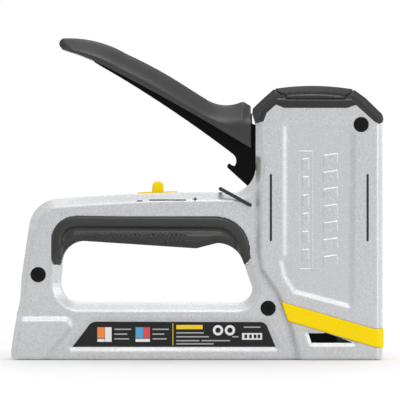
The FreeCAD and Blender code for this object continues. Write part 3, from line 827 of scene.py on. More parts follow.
@dataclass(frozen=True)
class Finish:
    """A surface: two close tones, how metallic and rough it is, and its grain.

    Spread is how far the roughness strays either way. The grain's scale is in cells per metre,
    depth is the strength of its bump, flecks the share of bright cells, grime how dark the rubbed
    clouds go, and stretch draws the grain out for brushed metal.
    """

    DUSKY = 0.72                 # how dark the grime is beside the tone
    FLECK = (0.95, 0.95, 0.95, 1.0)
    CLOUDS = 35.0                # grime patches per metre

    name: str
    tone: Colour
    light: Colour
    metallic: float = 0.0
    roughness: float = 0.5
    spread: float = 0.1
    scale: float = 1500.0
    depth: float = 0.2
    flecks: float = 0.0
    grime: float = 0.15
    specular: float = 0.5
    stretch: tuple[float, float, float] = (1.0, 1.0, 1.0)

    def material(self) -> bpy.types.Material:
        """The material, made once and found again by its name.

        Returns:
            The material.
        """
        name = f"look_{self.name}"
        found = bpy.data.materials.get(name)
        if found:
            return found
        made = bpy.data.materials.new(name)
        made.use_nodes = True
        made.diffuse_color = (*self.tone, 1.0)
        graph = Graph(made.node_tree)
        shader = made.node_tree.nodes["Principled BSDF"]
        where = graph.add("ShaderNodeTexCoord").outputs["Object"]
        drawn = graph.add("ShaderNodeMapping")
        drawn.inputs["Scale"].default_value = self.stretch
        graph.put(drawn.inputs["Vector"], where)
        grain = graph.add("ShaderNodeGroup", node_tree=effect_group(Effect.GRAIN))
        wear = graph.add("ShaderNodeGroup", node_tree=effect_group(Effect.WEAR))
        settings = ((grain, drawn.outputs[0], self.scale, self.depth), (wear, where, self.CLOUDS, 1.0))
        for node, spot, scale, depth in settings:
            graph.put(node.inputs["Vector"], spot)
            graph.put(node.inputs["Scale"], scale)
            graph.put(node.inputs["Depth"], depth)
        tone = graph.blend(grain.outputs["Value"], (*self.tone, 1.0), (*self.light, 1.0))
        if self.flecks:
            share = graph.math("MULTIPLY", grain.outputs["Flecks"], self.flecks)
            tone = graph.blend(share, tone, self.FLECK)
        darker = tuple(self.DUSKY * part for part in self.tone)
        tone = graph.blend(graph.math("MULTIPLY", wear.outputs["Value"], self.grime), tone, (*darker, 1.0))
        graph.put(shader.inputs["Base Color"], tone)
        rough = graph.math("ADD", grain.outputs["Value"], wear.outputs["Value"])
        low, high = max(0.05, self.roughness - self.spread), min(1.0, self.roughness + self.spread)
        graph.put(shader.inputs["Roughness"], graph.spread(rough, 0.0, 2.0, low, high))
        graph.put(shader.inputs["Normal"], grain.outputs["Normal"])
        shader.inputs["Metallic"].default_value = self.metallic
        shader.inputs["Specular IOR Level"].default_value = self.specular
        return made


CAST = Finish(
    "cast_metal", (0.50, 0.51, 0.52), (0.68, 0.69, 0.70), metallic=0.88, roughness=0.40, spread=0.06,
    scale=1900.0, depth=0.26, flecks=0.28, grime=0.08,
)
BUMPER = Finish(
    "bumper_plastic", (0.003, 0.0032, 0.0034), (0.006, 0.0062, 0.0064), roughness=0.29, spread=0.05,
    scale=2200.0, depth=0.12, specular=0.62,
)
COVER = Finish(
    "cover_plastic", (0.004, 0.0042, 0.0045), (0.008, 0.0083, 0.0086), roughness=0.34, spread=0.05,
    scale=2200.0, depth=0.12, specular=0.75,
)
RUBBER = Finish(
    "grip_rubber", (0.006, 0.0057, 0.0051), (0.011, 0.0105, 0.0093), roughness=0.34, spread=0.06,
    scale=1600.0, specular=0.68,
)
BLACK = Finish(
    "black_steel", (0.001, 0.001, 0.001), (0.003, 0.003, 0.003), roughness=0.34, spread=0.06,
    scale=900.0, depth=0.08, specular=0.08,
)
SCREW = Finish(
    "black_screw", (0.002, 0.002, 0.002), (0.005, 0.005, 0.005), roughness=0.26, spread=0.05,
    scale=1800.0, depth=0.08, specular=0.16,
)
YELLOW = Finish(
    "yellow_plastic", (0.86, 0.61, 0.0), (0.92, 0.67, 0.0), roughness=0.42, spread=0.06,
    scale=1200.0, depth=0.1, grime=0.1, specular=0.14,
)
FILM = Finish(
    "label_film", (0.006, 0.005, 0.006), (0.010, 0.009, 0.010), roughness=0.32, spread=0.05,
    depth=0.05, specular=0.3,
)
STEEL = Finish(
    "brushed_steel", (0.42, 0.43, 0.44), (0.62, 0.62, 0.62), metallic=1.0, roughness=0.32,
    depth=0.15, grime=0.3, stretch=(0.06, 1.0, 1.0),
)
ZINC = Finish(
    "zinc_steel", (0.5, 0.51, 0.52), (0.7, 0.7, 0.69), metallic=1.0, roughness=0.28, spread=0.08,
    scale=900.0, depth=0.1, flecks=0.1, grime=0.3,
)
WIRE = Finish(
    "wire_steel", (0.03, 0.03, 0.03), (0.08, 0.08, 0.08), metallic=1.0, roughness=0.3, spread=0.08,
    scale=1400.0, depth=0.1, grime=0.3,
)
SPRING = Finish(
    "spring_wire", (0.2, 0.2, 0.21), (0.34, 0.34, 0.35), metallic=1.0, roughness=0.3, spread=0.08,
    scale=1400.0, depth=0.1, grime=0.3,
)
BUFFER = Finish(
    "buffer_rubber", (0.012, 0.012, 0.012), (0.022, 0.022, 0.022), roughness=0.75, scale=1200.0, depth=0.3,
)
INNER = Finish("inner_plastic", (0.03, 0.03, 0.032), (0.05, 0.05, 0.052), spread=0.08, specular=0.3)


def ink(name: str, tone: Colour, light: Colour) -> Finish:
    """A printing ink."""
    return Finish(f"ink_{name}", tone, light, roughness=0.35, spread=0.05, scale=2500.0, depth=0.04)


INKS = {
    "white": ink("white", (0.7, 0.7, 0.68), (0.8, 0.8, 0.78)),
    "orange": ink("orange", (0.78, 0.2, 0.03), (0.84, 0.25, 0.04)),
    "blue": ink("blue", (0.05, 0.3, 0.55), (0.07, 0.36, 0.62)),
    "red": ink("red", (0.6, 0.05, 0.05), (0.68, 0.07, 0.06)),
    "yellow": ink("yellow", (0.78, 0.52, 0.0), (0.84, 0.6, 0.01)),
    "grey": ink("grey", (0.34, 0.34, 0.34), (0.42, 0.42, 0.42)),
}


def dress(thing: bpy.types.Object, finish: Finish, slot: str, body: Optional[str] = None,
          nodes: Sequence[str] = ()) -> bpy.types.Object:
    """Give a piece its material, hang it on its moving body and hide the CAD nodes it stands for.

    Args:
        thing: the piece.
        finish: its surface.
        slot: not used.
        body: the moving body it rides, for a new piece.
        nodes: the CAD nodes it stands for.

    Returns:
        The piece.
    """
    thing.data.materials.clear()
    thing.data.materials.append(finish.material())
    if body:
        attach(thing, body)
    if nodes:
        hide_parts(*nodes)
    LOG.info("made %s, %s", thing.name, finish.name)
    return thing


# ------------------------------------------------------------------ the cast shells
@dataclass
class Shell:
    """One cast half of the housing, with facets, recesses and rooms."""

    side: Side
    handle_half: float = 13.5
    rise: float = 3.5            # how much wider the front housing is
    rise_width: float = 3.2
    foot_rise: float = 1.5
    foot_width: float = 2.7
    panel_depth: float = 1.2
    panel_width: float = 2.6
    label_depth: float = 0.95
    label_width: float = 2.8
    core_half: float = 10.9
    head: float = 4.4            # radius of the recesses for screw heads
    head_depth: float = 1.7
    pin_depth: float = 1.3
    band_depth: float = 1.7
    band_gap: float = 0.2
    band_end: float = 102.9      # the band's recess runs out here, behind the nose
    slot: tuple[float, float] = (1.3, 38.0)
    slot_height: float = 85.4
    wire_hole: float = 1.15
    wrap: float = 2.5            # how far the metal keeps back from the grip's finger side
    pitch: float = 0.65
    bevels: list[Bevel] = field(default_factory=list)

    def __post_init__(self) -> None:
        """Lay out the facets."""
        front = np.array([(PLAN.front, 132.3), (PLAN.front, 0.0)])
        base = np.array([(-103.4, 0.0), (PLAN.front, 0.0)])
        self.bevels = [
            Bevel(PLAN.top(), 4.8, 3.8),
            Bevel(PLAN.rear(), 3.0, 2.4),
            Bevel(PLAN.hole_low(), 4.5, 3.2),
            Bevel(front, 3.0, 2.6),
            Bevel(base, 1.2, 0.8),
            Bevel(np.array([(62.4, 14.9), (64.2, 9.4), (88.2, 9.4)]), 1.9, 1.1),
        ]

    def face(self, spots: Array) -> Array:
        """Half width of the outer surface: the handle's, plus ramps up to the wide housing and the
        foot, less ramps into the recesses and the bevels, and held to the core under the grip.

        Args:
            spots: points, one row each.

        Returns:
            Half width at each spot.
        """
        wide = signed_distance(spots, PLAN.housing()) > -0.5
        raised = ramp(np.where(wide, path_distance(spots, PLAN.housing_rear()), -1.0), self.rise_width)
        half = self.handle_half + self.rise * raised
        half += self.foot_rise * ramp(signed_distance(spots, PLAN.foot()) + self.foot_width, self.foot_width)
        half -= self.panel_depth * ramp(signed_distance(spots, PLAN.panel()), self.panel_width)
        half -= self.label_depth * ramp(signed_distance(spots, PLAN.label()) + self.label_width, self.label_width)
        half -= np.max([bevel.depth(spots) for bevel in self.bevels], axis=0)
        sunk = ramp(signed_distance(spots, PLAN.grip()) - 0.1, 0.8)
        return half + (np.minimum(self.core_half, half) - half) * sunk

    def room(self, spots: Array) -> Array:
        """Half width of the space inside, almost nothing where the metal is solid.

        Args:
            spots: points, one row each.

        Returns:
            Half width at each spot.
        """
        striker = Outline(37.0, 60.0).line((37.0, 130.0), (43.0, 138.0), (86.0, 138.0), (94.5, 130.0))
        striker.line((101.2, 130.0), (101.2, 20.5), (58.0, 20.5), (50.0, 38.0), (44.0, 48.0))
        lever = np.array([(13.0, 96.0), (13.0, 93.4), (24.0, 85.0), (60.0, 85.0), (60.0, 134.0), (30.0, 134.0)])
        rooms = (
            (striker.array(), 13.8),
            (box_outline((-78.0, 40.0), (76.0, 89.0)), 8.5),
            (box_outline((-110.0, 101.2), (-1.0, 17.5)), 8.6),
            (box_outline((96.5, 101.2), (15.0, 24.0)), 8.6),
            (box_outline((-110.0, -90.5), (-1.0, 28.5)), 9.2),
            (lever, 7.6),
            (box_outline((-42.0, 3.2), (88.0, 96.0)), 5.2),
        )
        half = np.full(len(spots), HAIR)
        for outline, reach in rooms:
            half = np.where(signed_distance(spots, outline) > -1e-6, np.maximum(half, reach), half)
        return half

    def body(self, spots: Array) -> Array:
        """Signed distance to the half's own edge, without the openings in its face."""
        hole = signed_distance(spots, PLAN.hole(self.wrap))
        return np.minimum(signed_distance(spots, PLAN.silhouette()), -hole)

    def inside(self, spots: Array) -> Array:
        """Signed distance to the metal's edge, openings taken out.

        Args:
            spots: points, one row each.

        Returns:
            One distance per spot.
        """
        openings = [signed_distance(spots, PLAN.band(self.band_gap)), signed_distance(spots, PLAN.window())]
        openings += [disc(spots, place, self.head) for place in (PLAN.rear_screw, PLAN.front_screw, PLAN.top_pin)]
        openings += [bar(spots, across, self.slot_height, *self.slot, 0.6) for across in PLAN.slots]
        openings.append(disc(spots, PLAN.bail_pivot, self.wire_hole))
        return np.minimum(self.body(spots), -np.max(openings, axis=0))

    def sunken(self, within: Callable[[Array], Array], depth: float, lows: tuple[float, float],
               highs: tuple[float, float]) -> Relief:
        """The floor of a recess: the same surface, lower, inside an outline.

        Args:
            within: signed distance to the recess's edge.
            depth: of the recess.
            lows: least X and Z.
            highs: greatest X and Z.

        Returns:
            The relief.
        """
        return Relief(
            self.side, lows, highs, lambda spots: np.minimum(self.body(spots), within(spots)),
            lambda spots: self.face(spots) - depth, self.room, self.pitch, sharp_corners(PLAN.band(self.band_gap)),
        )

    def build(self) -> bpy.types.Object:
        """Make the shell and put it in place of its CAD node.

        Returns:
            The shell.
        """
        word = self.side.name.lower()
        band = PLAN.band(self.band_gap)
        edges = sharp_corners(PLAN.silhouette(), PLAN.hole(self.wrap), band, PLAN.window())
        parts = [
            Relief(self.side, (-105.5, -0.7), (105.0, 144.0), self.inside, self.face, self.room, self.pitch, edges)
        ]
        inner_band = lambda spots: np.minimum(signed_distance(spots, band), self.band_end - spots[:, 0])
        parts.append(self.sunken(inner_band, self.band_depth, (46.0, 6.0), (103.5, 33.5)))
        recesses = (
            (PLAN.rear_screw, self.head_depth), (PLAN.front_screw, self.head_depth), (PLAN.top_pin, self.pin_depth),
        )
        for place, depth in recesses:
            low = (place[0] - 5.0, place[1] - 5.0)
            high = (place[0] + 5.0, place[1] + 5.0)
            parts.append(self.sunken(lambda spots, at=place: disc(spots, at, self.head), depth, low, high))
        made = joined(f"cast_{word}_shell", parts)
        return dress(made, CAST, "cast_body", "housing", [f"{word}_shell"])


def joined(name: str, parts: Sequence[Relief], crease: float = 35.0) -> bpy.types.Object:
    """Several reliefs as one object.

    Args:
        name: of the object.
        parts: the reliefs.
        crease: edges that turn by more degrees than this stay sharp.

    Returns:
        The object.
    """
    spots, faces, start = [], [], 0
    for part in parts:
        own, blocks = part.solid()
        spots.append(own)
        faces.extend(block + start for block in blocks)
        start += len(own)
    return make_mesh(name, np.concatenate(spots), faces, crease)


def both_sides(name: str, lows: tuple[float, float], highs: tuple[float, float],
               inside: Callable[[Array], Array], outer: Callable[[Array], Array], pitch: float,
               edge: Array) -> bpy.types.Object:
    """A solid that is the same on both sides of Y = 0, as one object.

    Args:
        name: of the object.
        lows: least X and Z.
        highs: greatest X and Z.
        inside: signed distance of points, positive inside.
        outer: half width.
        pitch: grid spacing.
        edge: the outline whose corners stay sharp.

    Returns:
        The object.
    """
    far = lambda spots: -outer(spots)
    return joined(name, [Relief(Side.RIGHT, lows, highs, inside, outer, far, pitch, sharp_corners(edge))])


# ------------------------------------------------------------------ grips, bumper, band, label
@dataclass
class Grip:
    """Half of the rubber grip: a flat band by the metal, a slope to the fingers and a knurled field."""

    side: Side
    half: float = 15.0
    core: float = 11.0
    band: float = 0.55           # how far the ridge stands above the outer band
    edge: float = 1.0
    valley: float = 2.6
    rebound: float = 0.55        # share of the valley that the finger side climbs back
    inset: float = 0.7
    knurl: float = 0.3
    knurl_pitch: float = 2.6
    knurl_lean: float = 1.6      # how steeply the knurl's two sets of lines cross
    pitch: float = 0.45

    def face(self, spots: Array) -> Array:
        """Half width: a flat outer band, a ridge, a valley, and a roll that ends at the fingers.

        Args:
            spots: points, one row each.

        Returns:
            Half width at each spot.
        """
        inward = path_distance(spots, PLAN.grip_top())
        outward = path_distance(spots, PLAN.grip_fingers())
        band = self.band * ramp(inward - 0.6, 3.6, 0.3) - self.edge * (1.0 - ramp(inward, self.edge, 0.3))
        valley = self.valley * (ramp(inward - 4.9, 2.4, 0.35) - self.rebound * ramp(inward - 8.2, 2.6, 0.35))
        roll = Bevel(PLAN.grip_fingers(), 3.4, 3.0, 0.45).depth(spots)
        field_gap = np.minimum(72.0 - spots[:, 1], np.minimum(spots[:, 0] + 67.0, -5.0 - spots[:, 0]))
        field = ramp(np.minimum(field_gap, outward - 1.0), 1.2)
        turn = math.pi / self.knurl_pitch
        lean = self.knurl_lean * spots[:, 1]
        one = np.abs(np.sin(turn * (spots[:, 0] + lean)))
        two = np.abs(np.sin(turn * (spots[:, 0] - lean)))
        knurl = self.knurl * field * (np.minimum(one, two) * 2 - 0.9)
        return self.half - self.inset + band - valley - roll + knurl

    def room(self, spots: Array) -> Array:
        """The core's half width, or the middle plane on the finger side."""
        return np.where(signed_distance(spots, PLAN.hole(Shell.wrap)) > 0.0, HAIR, self.core)

    def build(self) -> bpy.types.Object:
        """Make the grip and put it in place of its CAD node.

        Returns:
            The grip.
        """
        word = self.side.name.lower()
        inside = lambda spots: signed_distance(spots, PLAN.grip()) - HAIR
        part = Relief(self.side, (-83.0, 52.8), (31.0, 81.5), inside, self.face, self.room, self.pitch)
        return dress(joined(f"rubber_{word}_grip", [part], 50.0), RUBBER, "grip_rubber", "housing", [f"{word}_grip"])


@dataclass
class Bumper:
    """The cap over the front housing and the pad let into its top."""

    half: float = 17.0
    inset: float = 0.35          # of the frame; its bead stands out to the full half width
    pad_inset: float = 0.4
    bead_height: float = 0.35
    groove: float = 0.4
    tuck: float = 0.15           # how far the frame runs in under the pad
    pitch: float = 0.38
    pad_pitch: float = 0.4

    def bead(self, spots: Array, path: Array, away: float) -> Array:
        """A rounded bead along a path with a groove inside it, each a Gaussian of the distance to the path.

        Args:
            spots: points, one row each.
            path: what the bead follows.
            away: distance from the path to the bead's top.

        Returns:
            How far the surface stands out at each spot.
        """
        gap = path_distance(spots, path) - away
        bead = self.bead_height * np.exp(-((gap / 0.6) ** 2))
        return bead - self.groove * np.exp(-(((gap - 1.6) / 0.7) ** 2))

    def face(self, spots: Array) -> Array:
        """Half width of the frame: a bead and a groove along the top, less the bevels at its edges.

        Args:
            spots: points, one row each.

        Returns:
            Half width at each spot.
        """
        edge = Bevel(PLAN.cap_outer(), 3.0, 2.4, 0.22).depth(spots)
        seat = Outline(43.7, 152.3).line((47.8, 149.3), (50.8, 146.8), (82.2, 146.7), (85.4, 149.3), (87.5, 152.0))
        lip = Bevel(seat.array(), 0.9, 0.6, 0.3).depth(spots)
        joint = Bevel(PLAN.crown(), 0.6, 0.3, 0.3).depth(spots)
        bead = self.bead(spots, PLAN.cap_outer(), 3.1)
        return self.half - self.inset + bead - np.maximum(edge, np.maximum(lip, joint))

    def pad_face(self, spots: Array) -> Array:
        """Half width of the pad, made in the same way.

        Args:
            spots: points, one row each.

        Returns:
            Half width at each spot.
        """
        upper = Outline(43.7, 152.3).arc((65.9, 153.9), (87.5, 152.0), 20).array()
        lower = np.array([(47.8, 149.3), (50.8, 146.8), (82.2, 146.7), (85.4, 149.3)])
        edge = Bevel(upper, 2.8, 2.2, 0.25).depth(spots)
        lip = Bevel(lower, 0.8, 0.6, 0.3).depth(spots)
        return self.half - self.pad_inset + self.bead(spots, upper, 2.9) - np.maximum(edge, lip)

    def build(self) -> None:
        """Make the frame and the pad."""
        frame_edge = lambda spots: np.minimum(
            signed_distance(spots, PLAN.cap()), self.tuck - signed_distance(spots, PLAN.cap_pad())
        )
        cap = both_sides("bumper_frame", (30.8, 132.0), (105.0, 152.5), frame_edge, self.face, self.pitch, PLAN.cap())
        dress(cap, BUMPER, "bumper_plastic", "housing", ["top_cap_frame"])
        pad_edge = lambda spots: signed_distance(spots, PLAN.cap_pad()) - HAIR
        pad = both_sides(
            "bumper_pad", (43.0, 146.0), (88.0, 154.5), pad_edge, self.pad_face, self.pad_pitch, PLAN.cap_pad()
        )
        dress(pad, BUMPER, "bumper_plastic", "housing", ["top_cap_pad"])


@dataclass
class NoseBand:
    """The yellow band: two side strips that meet across the nose."""

    half: float = 17.0
    thick: float = 1.5
    easing: float = 0.3
    nose: float = 103.1          # from here forward the band crosses the nose
    pitch: float = 0.5

    def face(self, spots: Array) -> Array:
        """Half width of the band: the housing's own facets with its edges eased.

        Args:
            spots: points, one row each.

        Returns:
            Half width at each spot.
        """
        front = np.array([(104.8, 20.0), (104.8, 5.0)])
        half = self.half - Bevel(front, 3.4, 3.0).depth(spots)
        return half - self.easing * (1.0 - ramp(signed_distance(spots, PLAN.band()), 0.6, 0.4))

    def room(self, spots: Array) -> Array:
        """The strips are thin; the part across the nose reaches the middle plane."""
        return np.where(spots[:, 0] > self.nose, 0.0, self.face(spots) - self.thick)

    def build(self) -> None:
        """Make the band."""
        inside = lambda spots: signed_distance(spots, PLAN.band())
        parts = [
            Relief(side, (47.0, 6.5), (105.2, 33.0), inside, self.face, self.room, self.pitch,
                   sharp_corners(PLAN.band()))
            for side in Side
        ]
        dress(joined("yellow_band", parts), YELLOW, "yellow_plastic", "housing", ["nose_band"])


@dataclass
class Label:
    """The dark film on one side of the base and its plain printed blocks."""

    side: Side
    floor: float = 12.55
    film: float = 0.25
    ink: float = 0.03
    line: float = 0.7            # height of a printed line

    def blocks(self) -> dict[str, list[Array]]:
        """Printed shapes.

        Returns:
            Outlines by ink.
        """
        white = [box_outline((-51.9, -48.2), (9.9, 18.1)), box_outline((-56.2, -52.1), (9.9, 11.6))]
        white += [box_outline((-34.7, -26.6), (9.9, 11.6)), box_outline((25.2, 36.5), (11.1, 14.8))]
        white += [round_outline((11.7, 16.4), 2.9), round_outline((18.4, 16.4), 2.9)]
        lines = (
            (-46.6, 16.6, 9.4), (-46.6, 13.9, 7.2), (-46.6, 11.2, 8.3), (-25.2, 16.6, 9.2), (-25.2, 13.9, 6.6),
            (-25.2, 11.2, 8.0), (-11.8, 14.6, 15.5), (-11.8, 12.4, 18.4), (-11.8, 10.2, 13.0), (2.4, 10.2, 16.0),
            (26.2, 17.8, 9.4), (19.8, 12.4, 3.4), (-11.8, 8.4, 21.0),
        )
        grey = [box_outline((start, start + wide), (low, low + self.line)) for start, low, wide in lines]
        return {
            "white": white,
            "grey": grey,
            "orange": [box_outline((-56.2, -52.1), (12.0, 18.1))],
            "blue": [box_outline((-34.7, -30.5), (12.0, 18.1))],
            "red": [box_outline((-30.4, -26.6), (12.0, 18.1))],
            "yellow": [box_outline((-13.9, -13.5), (8.0, 20.3)), box_outline((-11.8, 3.0), (17.0, 19.4))],
        }

    def build(self) -> None:
        """Make the film and its print."""
        word, sign = self.side.name.lower(), self.side.value
        top = self.floor + self.film
        film = prism_mesh(f"film_{word}", [(PLAN.label(), sign * self.floor, sign * top)])
        dress(film, FILM, "label_film", "housing", [f"{word}_label"])
        for ink, shapes in self.blocks().items():
            plates = [(shape, sign * top, sign * (top + self.ink)) for shape in shapes]
            dress(prism_mesh(f"print_{ink}_{word}", plates), INKS[ink], "label_film", "housing")
        marks = [box_outline((start, start + 1.5), (11.9, 14.0)) for start in (26.6, 29.2, 31.8, 34.0)]
        marks += [round_outline(at, 1.5) for at in ((11.7, 16.4), (18.4, 16.4))]
        plates = [(shape, sign * (top + self.ink), sign * (top + 2 * self.ink)) for shape in marks]
        dress(prism_mesh(f"print_marks_{word}", plates), FILM, "label_film", "housing")


@dataclass
class SideRelief:
    """Plain raised blocks on the panel, dark plates behind the two slots that paint the shade inside them, and the
    sight window's liner.
    """

    side: Side
    floor: float = 15.8
    seat: float = 0.05           # how far the blocks' feet are sunk in the panel
    proud: float = 0.3
    slope: float = 0.7
    frame_width: float = 0.9
    slot_half: float = 0.75
    liner: tuple[float, float] = (8.7, 9.2)
    step: tuple[float, float] = (9.2, 9.7)
    # Y range of the dark plates behind the slots: painted shade standing in for the shadow in the grooves.
    slot_shade: tuple[float, float] = (14.4, 15.6)
    pitch: float = 0.35

    def blocks(self, spots: Array) -> Array:
        """Signed distance to the nearest block: a row of slanted blocks beside a framed row.

        Args:
            spots: points, one row each.

        Returns:
            One distance per spot.
        """
        gaps = []
        for number in range(7):
            low = 51.5 + number * 9.5
            block = np.array([(70.4, low), (79.2, low + 1.3), (79.2, low + 7.9), (70.4, low + 6.6)])
            gaps.append(signed_distance(spots, block))
        for number in range(6):
            low = 55.0 + number * 10.2
            block = np.array([(58.6, low), (63.0, low + 0.6), (63.0, low + 7.6), (58.6, low + 7.0)])
            gaps.append(signed_distance(spots, block))
        frame = bar(spots, 60.8, 84.0, 8.6, 67.0, 0.6)
        gaps.append(np.minimum(frame, self.frame_width - frame))
        return np.max(gaps, axis=0)

    def build(self) -> None:
        """Make the blocks, the painted-shade plates behind the slots and the liner."""
        word = self.side.name.lower()
        part = Relief(
            self.side, (55.5, 49.5), (80.5, 119.0), self.blocks,
            lambda spots: self.floor - self.seat + self.proud * ramp(self.blocks(spots), self.slope, 0.3),
            lambda spots: np.full(len(spots), self.floor - 0.3), self.pitch,
        )
        dress(joined(f"panel_blocks_{word}", [part]), CAST, "cast_body", "housing")
        # Dark plates behind the slots paint the shade that fills the real grooves.
        slot_shade = [box_outline((at - self.slot_half, at + self.slot_half), (66.2, 104.6)) for at in PLAN.slots]
        step = np.array([(78.8, 9.5), (87.6, 9.5), (78.8, 12.6)])
        for name, outlines, reach, finish in (
            ("slot_backs", slot_shade, self.slot_shade, INNER),
            ("window_liner", [PLAN.window()], self.liner, BLACK),
            ("window_step", [step], self.step, INNER),
        ):
            near, far = (self.side.value * half for half in reach)
            plates = [(outline, near, far) for outline in outlines]
            dress(prism_mesh(f"{name}_{word}", plates), finish, "inner_plastic", "housing")


# ------------------------------------------------------------------ fasteners and wires
@dataclass
class Heads:
    """Round heads in the housing's recesses, with a six-lobed socket and its pin."""

    radius: float = 4.2
    shank: float = 2.0
    socket: float = 2.1
    lobe: float = 0.32
    depth: float = 0.9
    screw: tuple[float, float] = (13.4, 25.2)    # half width at the dome's top, length
    plug: tuple[float, float] = (13.3, 1.7)
    pin: tuple[float, float] = (16.8, 16.9)
    sides: int = 96

    def head(self, name: str, place: tuple[float, float], side: Side, size: tuple[float, float],
             socket: bool = False) -> bpy.types.Object:
        """One head: rings run from the middle of the socket out over the dome and down the shank.

        Args:
            name: of the object.
            place: X and Z of its middle.
            side: which side of the gun it faces.
            size: half width at the top of the dome, and how far the shank goes in from there.
            socket: whether it has a socket.

        Returns:
            The object.
        """
        face, length = size
        turn = np.linspace(0.0, math.tau, self.sides, endpoint=False)
        plain = np.ones(self.sides)
        star = self.socket + self.lobe * np.cos(6 * turn) if socket else self.socket * plain
        sink = self.depth if socket else 0.0
        rings = [(0.16 * star, 0.25 * sink), (0.28 * star, 0.25 * sink), (0.33 * star, sink), (0.9 * star, sink)]
        rings += [(0.98 * star, 0.12 * sink), (1.06 * star, 0.0)]
        for share in (0.3, 0.6, 0.85):
            rings.append((star + share * (self.radius - star), 0.02 + 0.22 * share**2))
        rim, shank = self.radius * plain, self.shank * plain
        rings += [(0.97 * rim, 0.34), (rim, 0.6), (rim, 1.5), (shank, 1.52), (shank, length)]
        grid = np.zeros((len(rings), self.sides, 3))
        for row, (radius, drop) in enumerate(rings):
            grid[row, :, 0] = place[0] + radius * np.cos(turn)
            grid[row, :, 1] = side.value * (face - drop)
            grid[row, :, 2] = place[1] + radius * np.sin(turn)
        if side is Side.RIGHT:
            grid = grid[:, ::-1]
        return sheet_mesh(name, grid, crease=35.0)

    def build(self) -> None:
        """Make the screws on the right, their plugs on the left and the top pin's two heads."""
        for word, place, screw_node, plug_node in (
            ("rear", PLAN.rear_screw, ["housing_screws"], ["screw_caps"]), ("front", PLAN.front_screw, [], []),
        ):
            screw = self.head(f"screw_{word}", place, Side.RIGHT, self.screw, True)
            dress(screw, SCREW, "black_steel", "housing", screw_node)
            plug = self.head(f"plug_{word}", place, Side.LEFT, self.plug)
            dress(plug, SCREW, "black_steel", "housing", plug_node)
        for side, node in ((Side.RIGHT, ["spring_seat_pin"]), (Side.LEFT, [])):
            pin = self.head(f"top_pin_{side.name.lower()}", PLAN.top_pin, side, self.pin)
            dress(pin, SCREW, "black_steel", "housing", node)


@dataclass
class Bail:
    """The wire lock: a bar over the handle, two arms and two stub ends."""

    wire: float = 1.0
    half: float = 14.8
    stub: float = 10.9
    bend: float = 1.2

    def path(self) -> Array:
        """Points along the wire, with each corner swept by a quadratic curve.

        Returns:
            The points, one row each.
        """
        (px, pz), (bx, bz) = PLAN.bail_pivot, PLAN.bail_bar
        corners = np.array([
            (px, self.stub, pz), (px, self.half, pz), (bx, self.half, bz),
            (bx, -self.half, bz), (px, -self.half, pz), (px, -self.stub, pz),
        ])
        points = [corners[0]]
        share = np.linspace(0.0, 1.0, 9)[:, None]
        for before, corner, after in zip(corners[:-2], corners[1:-1], corners[2:]):
            back, ahead = before - corner, after - corner
            start = corner + back / np.linalg.norm(back) * self.bend
            end = corner + ahead / np.linalg.norm(ahead) * self.bend
            points.extend((1 - share) ** 2 * start + 2 * share * (1 - share) * corner + share**2 * end)
        points.append(corners[-1])
        return np.array(points)

    def build(self) -> None:
        """Make the wire."""
        wire = sheet_mesh("lock_wire", tube_grid(self.path(), self.wire))
        dress(wire, WIRE, "steel", "bail", ["lock_bail"])


@dataclass
class Coil:
    """A helical spring whose last turn at each end lies flat."""

    name: str
    start: tuple[float, float, float]
    length: float
    along: str
    radius: float
    wire: float
    turns: float
    steps: int = 28
    sides: int = 14
    closed: float = 0.75         # turns that lie flat at each end
    slow: float = 0.25           # how fast those turns rise, beside the even ones

    def build(self) -> bpy.types.Object:
        """Make the spring.

        The rise along the axis is slow in the closed turns and even between, and its sum is
        stretched to the length between the two end turns.

        Returns:
            The object.
        """
        count = int(self.turns * self.steps) + 1
        share = np.linspace(0.0, 1.0, count)
        even = ramp(np.minimum(share, 1.0 - share), self.closed / self.turns, 0.3)
        speed = self.slow + (1.0 - self.slow) * even
        rise = np.concatenate([[0.0], np.cumsum((speed[1:] + speed[:-1]) / 2)])
        rise = rise / rise[-1] * (self.length - self.wire) + self.wire / 2
        turn = math.tau * self.turns * share
        spots = np.stack([self.radius * np.cos(turn), self.radius * np.sin(turn), rise], 1)
        if self.along == "X":
            spots = spots[:, [2, 0, 1]]
        path = spots + np.array(self.start)
        return sheet_mesh(self.name, tube_grid(path, self.wire / 2, self.sides))


# ------------------------------------------------------------------ moving parts
@dataclass
class LeverCover:
    """The moulded cover over the steel lever, with a soft ridge under its top edge."""

    half: float = 11.0
    steel_half: float = 7.15
    pitch: float = 0.7

    def face(self, spots: Array) -> Array:
        """Half width of the outer surface: the deeper of the two bevels is taken off, and a
        little of the other.

        Args:
            spots: points, one row each.

        Returns:
            Half width at each spot.
        """
        top = Bevel(PLAN.cover_top(), 8.6, 5.4, 0.48).depth(spots)
        low = Bevel(PLAN.cover_low(), 2.6, 1.6, 0.4).depth(spots)
        return self.half - np.maximum(top, low) - 0.12 * np.minimum(top, low)

    def room(self, spots: Array) -> Array:
        """Half width of the hollow that the steel sits in."""
        return np.where(signed_distance(spots, PLAN.lever_steel()) > -0.75, self.steel_half, 0.0)

    def build(self) -> None:
        """Make the cover."""
        inside = lambda spots: signed_distance(spots, PLAN.cover())
        parts = [
            Relief(side, (-78.5, 118.0), (31.0, 181.6), inside, self.face, self.room, self.pitch,
                   sharp_corners(PLAN.cover()))
            for side in Side
        ]
        dress(joined("cover_moulding", parts, 42.0), COVER, "bumper_plastic", "lever", ["lever_cover"])


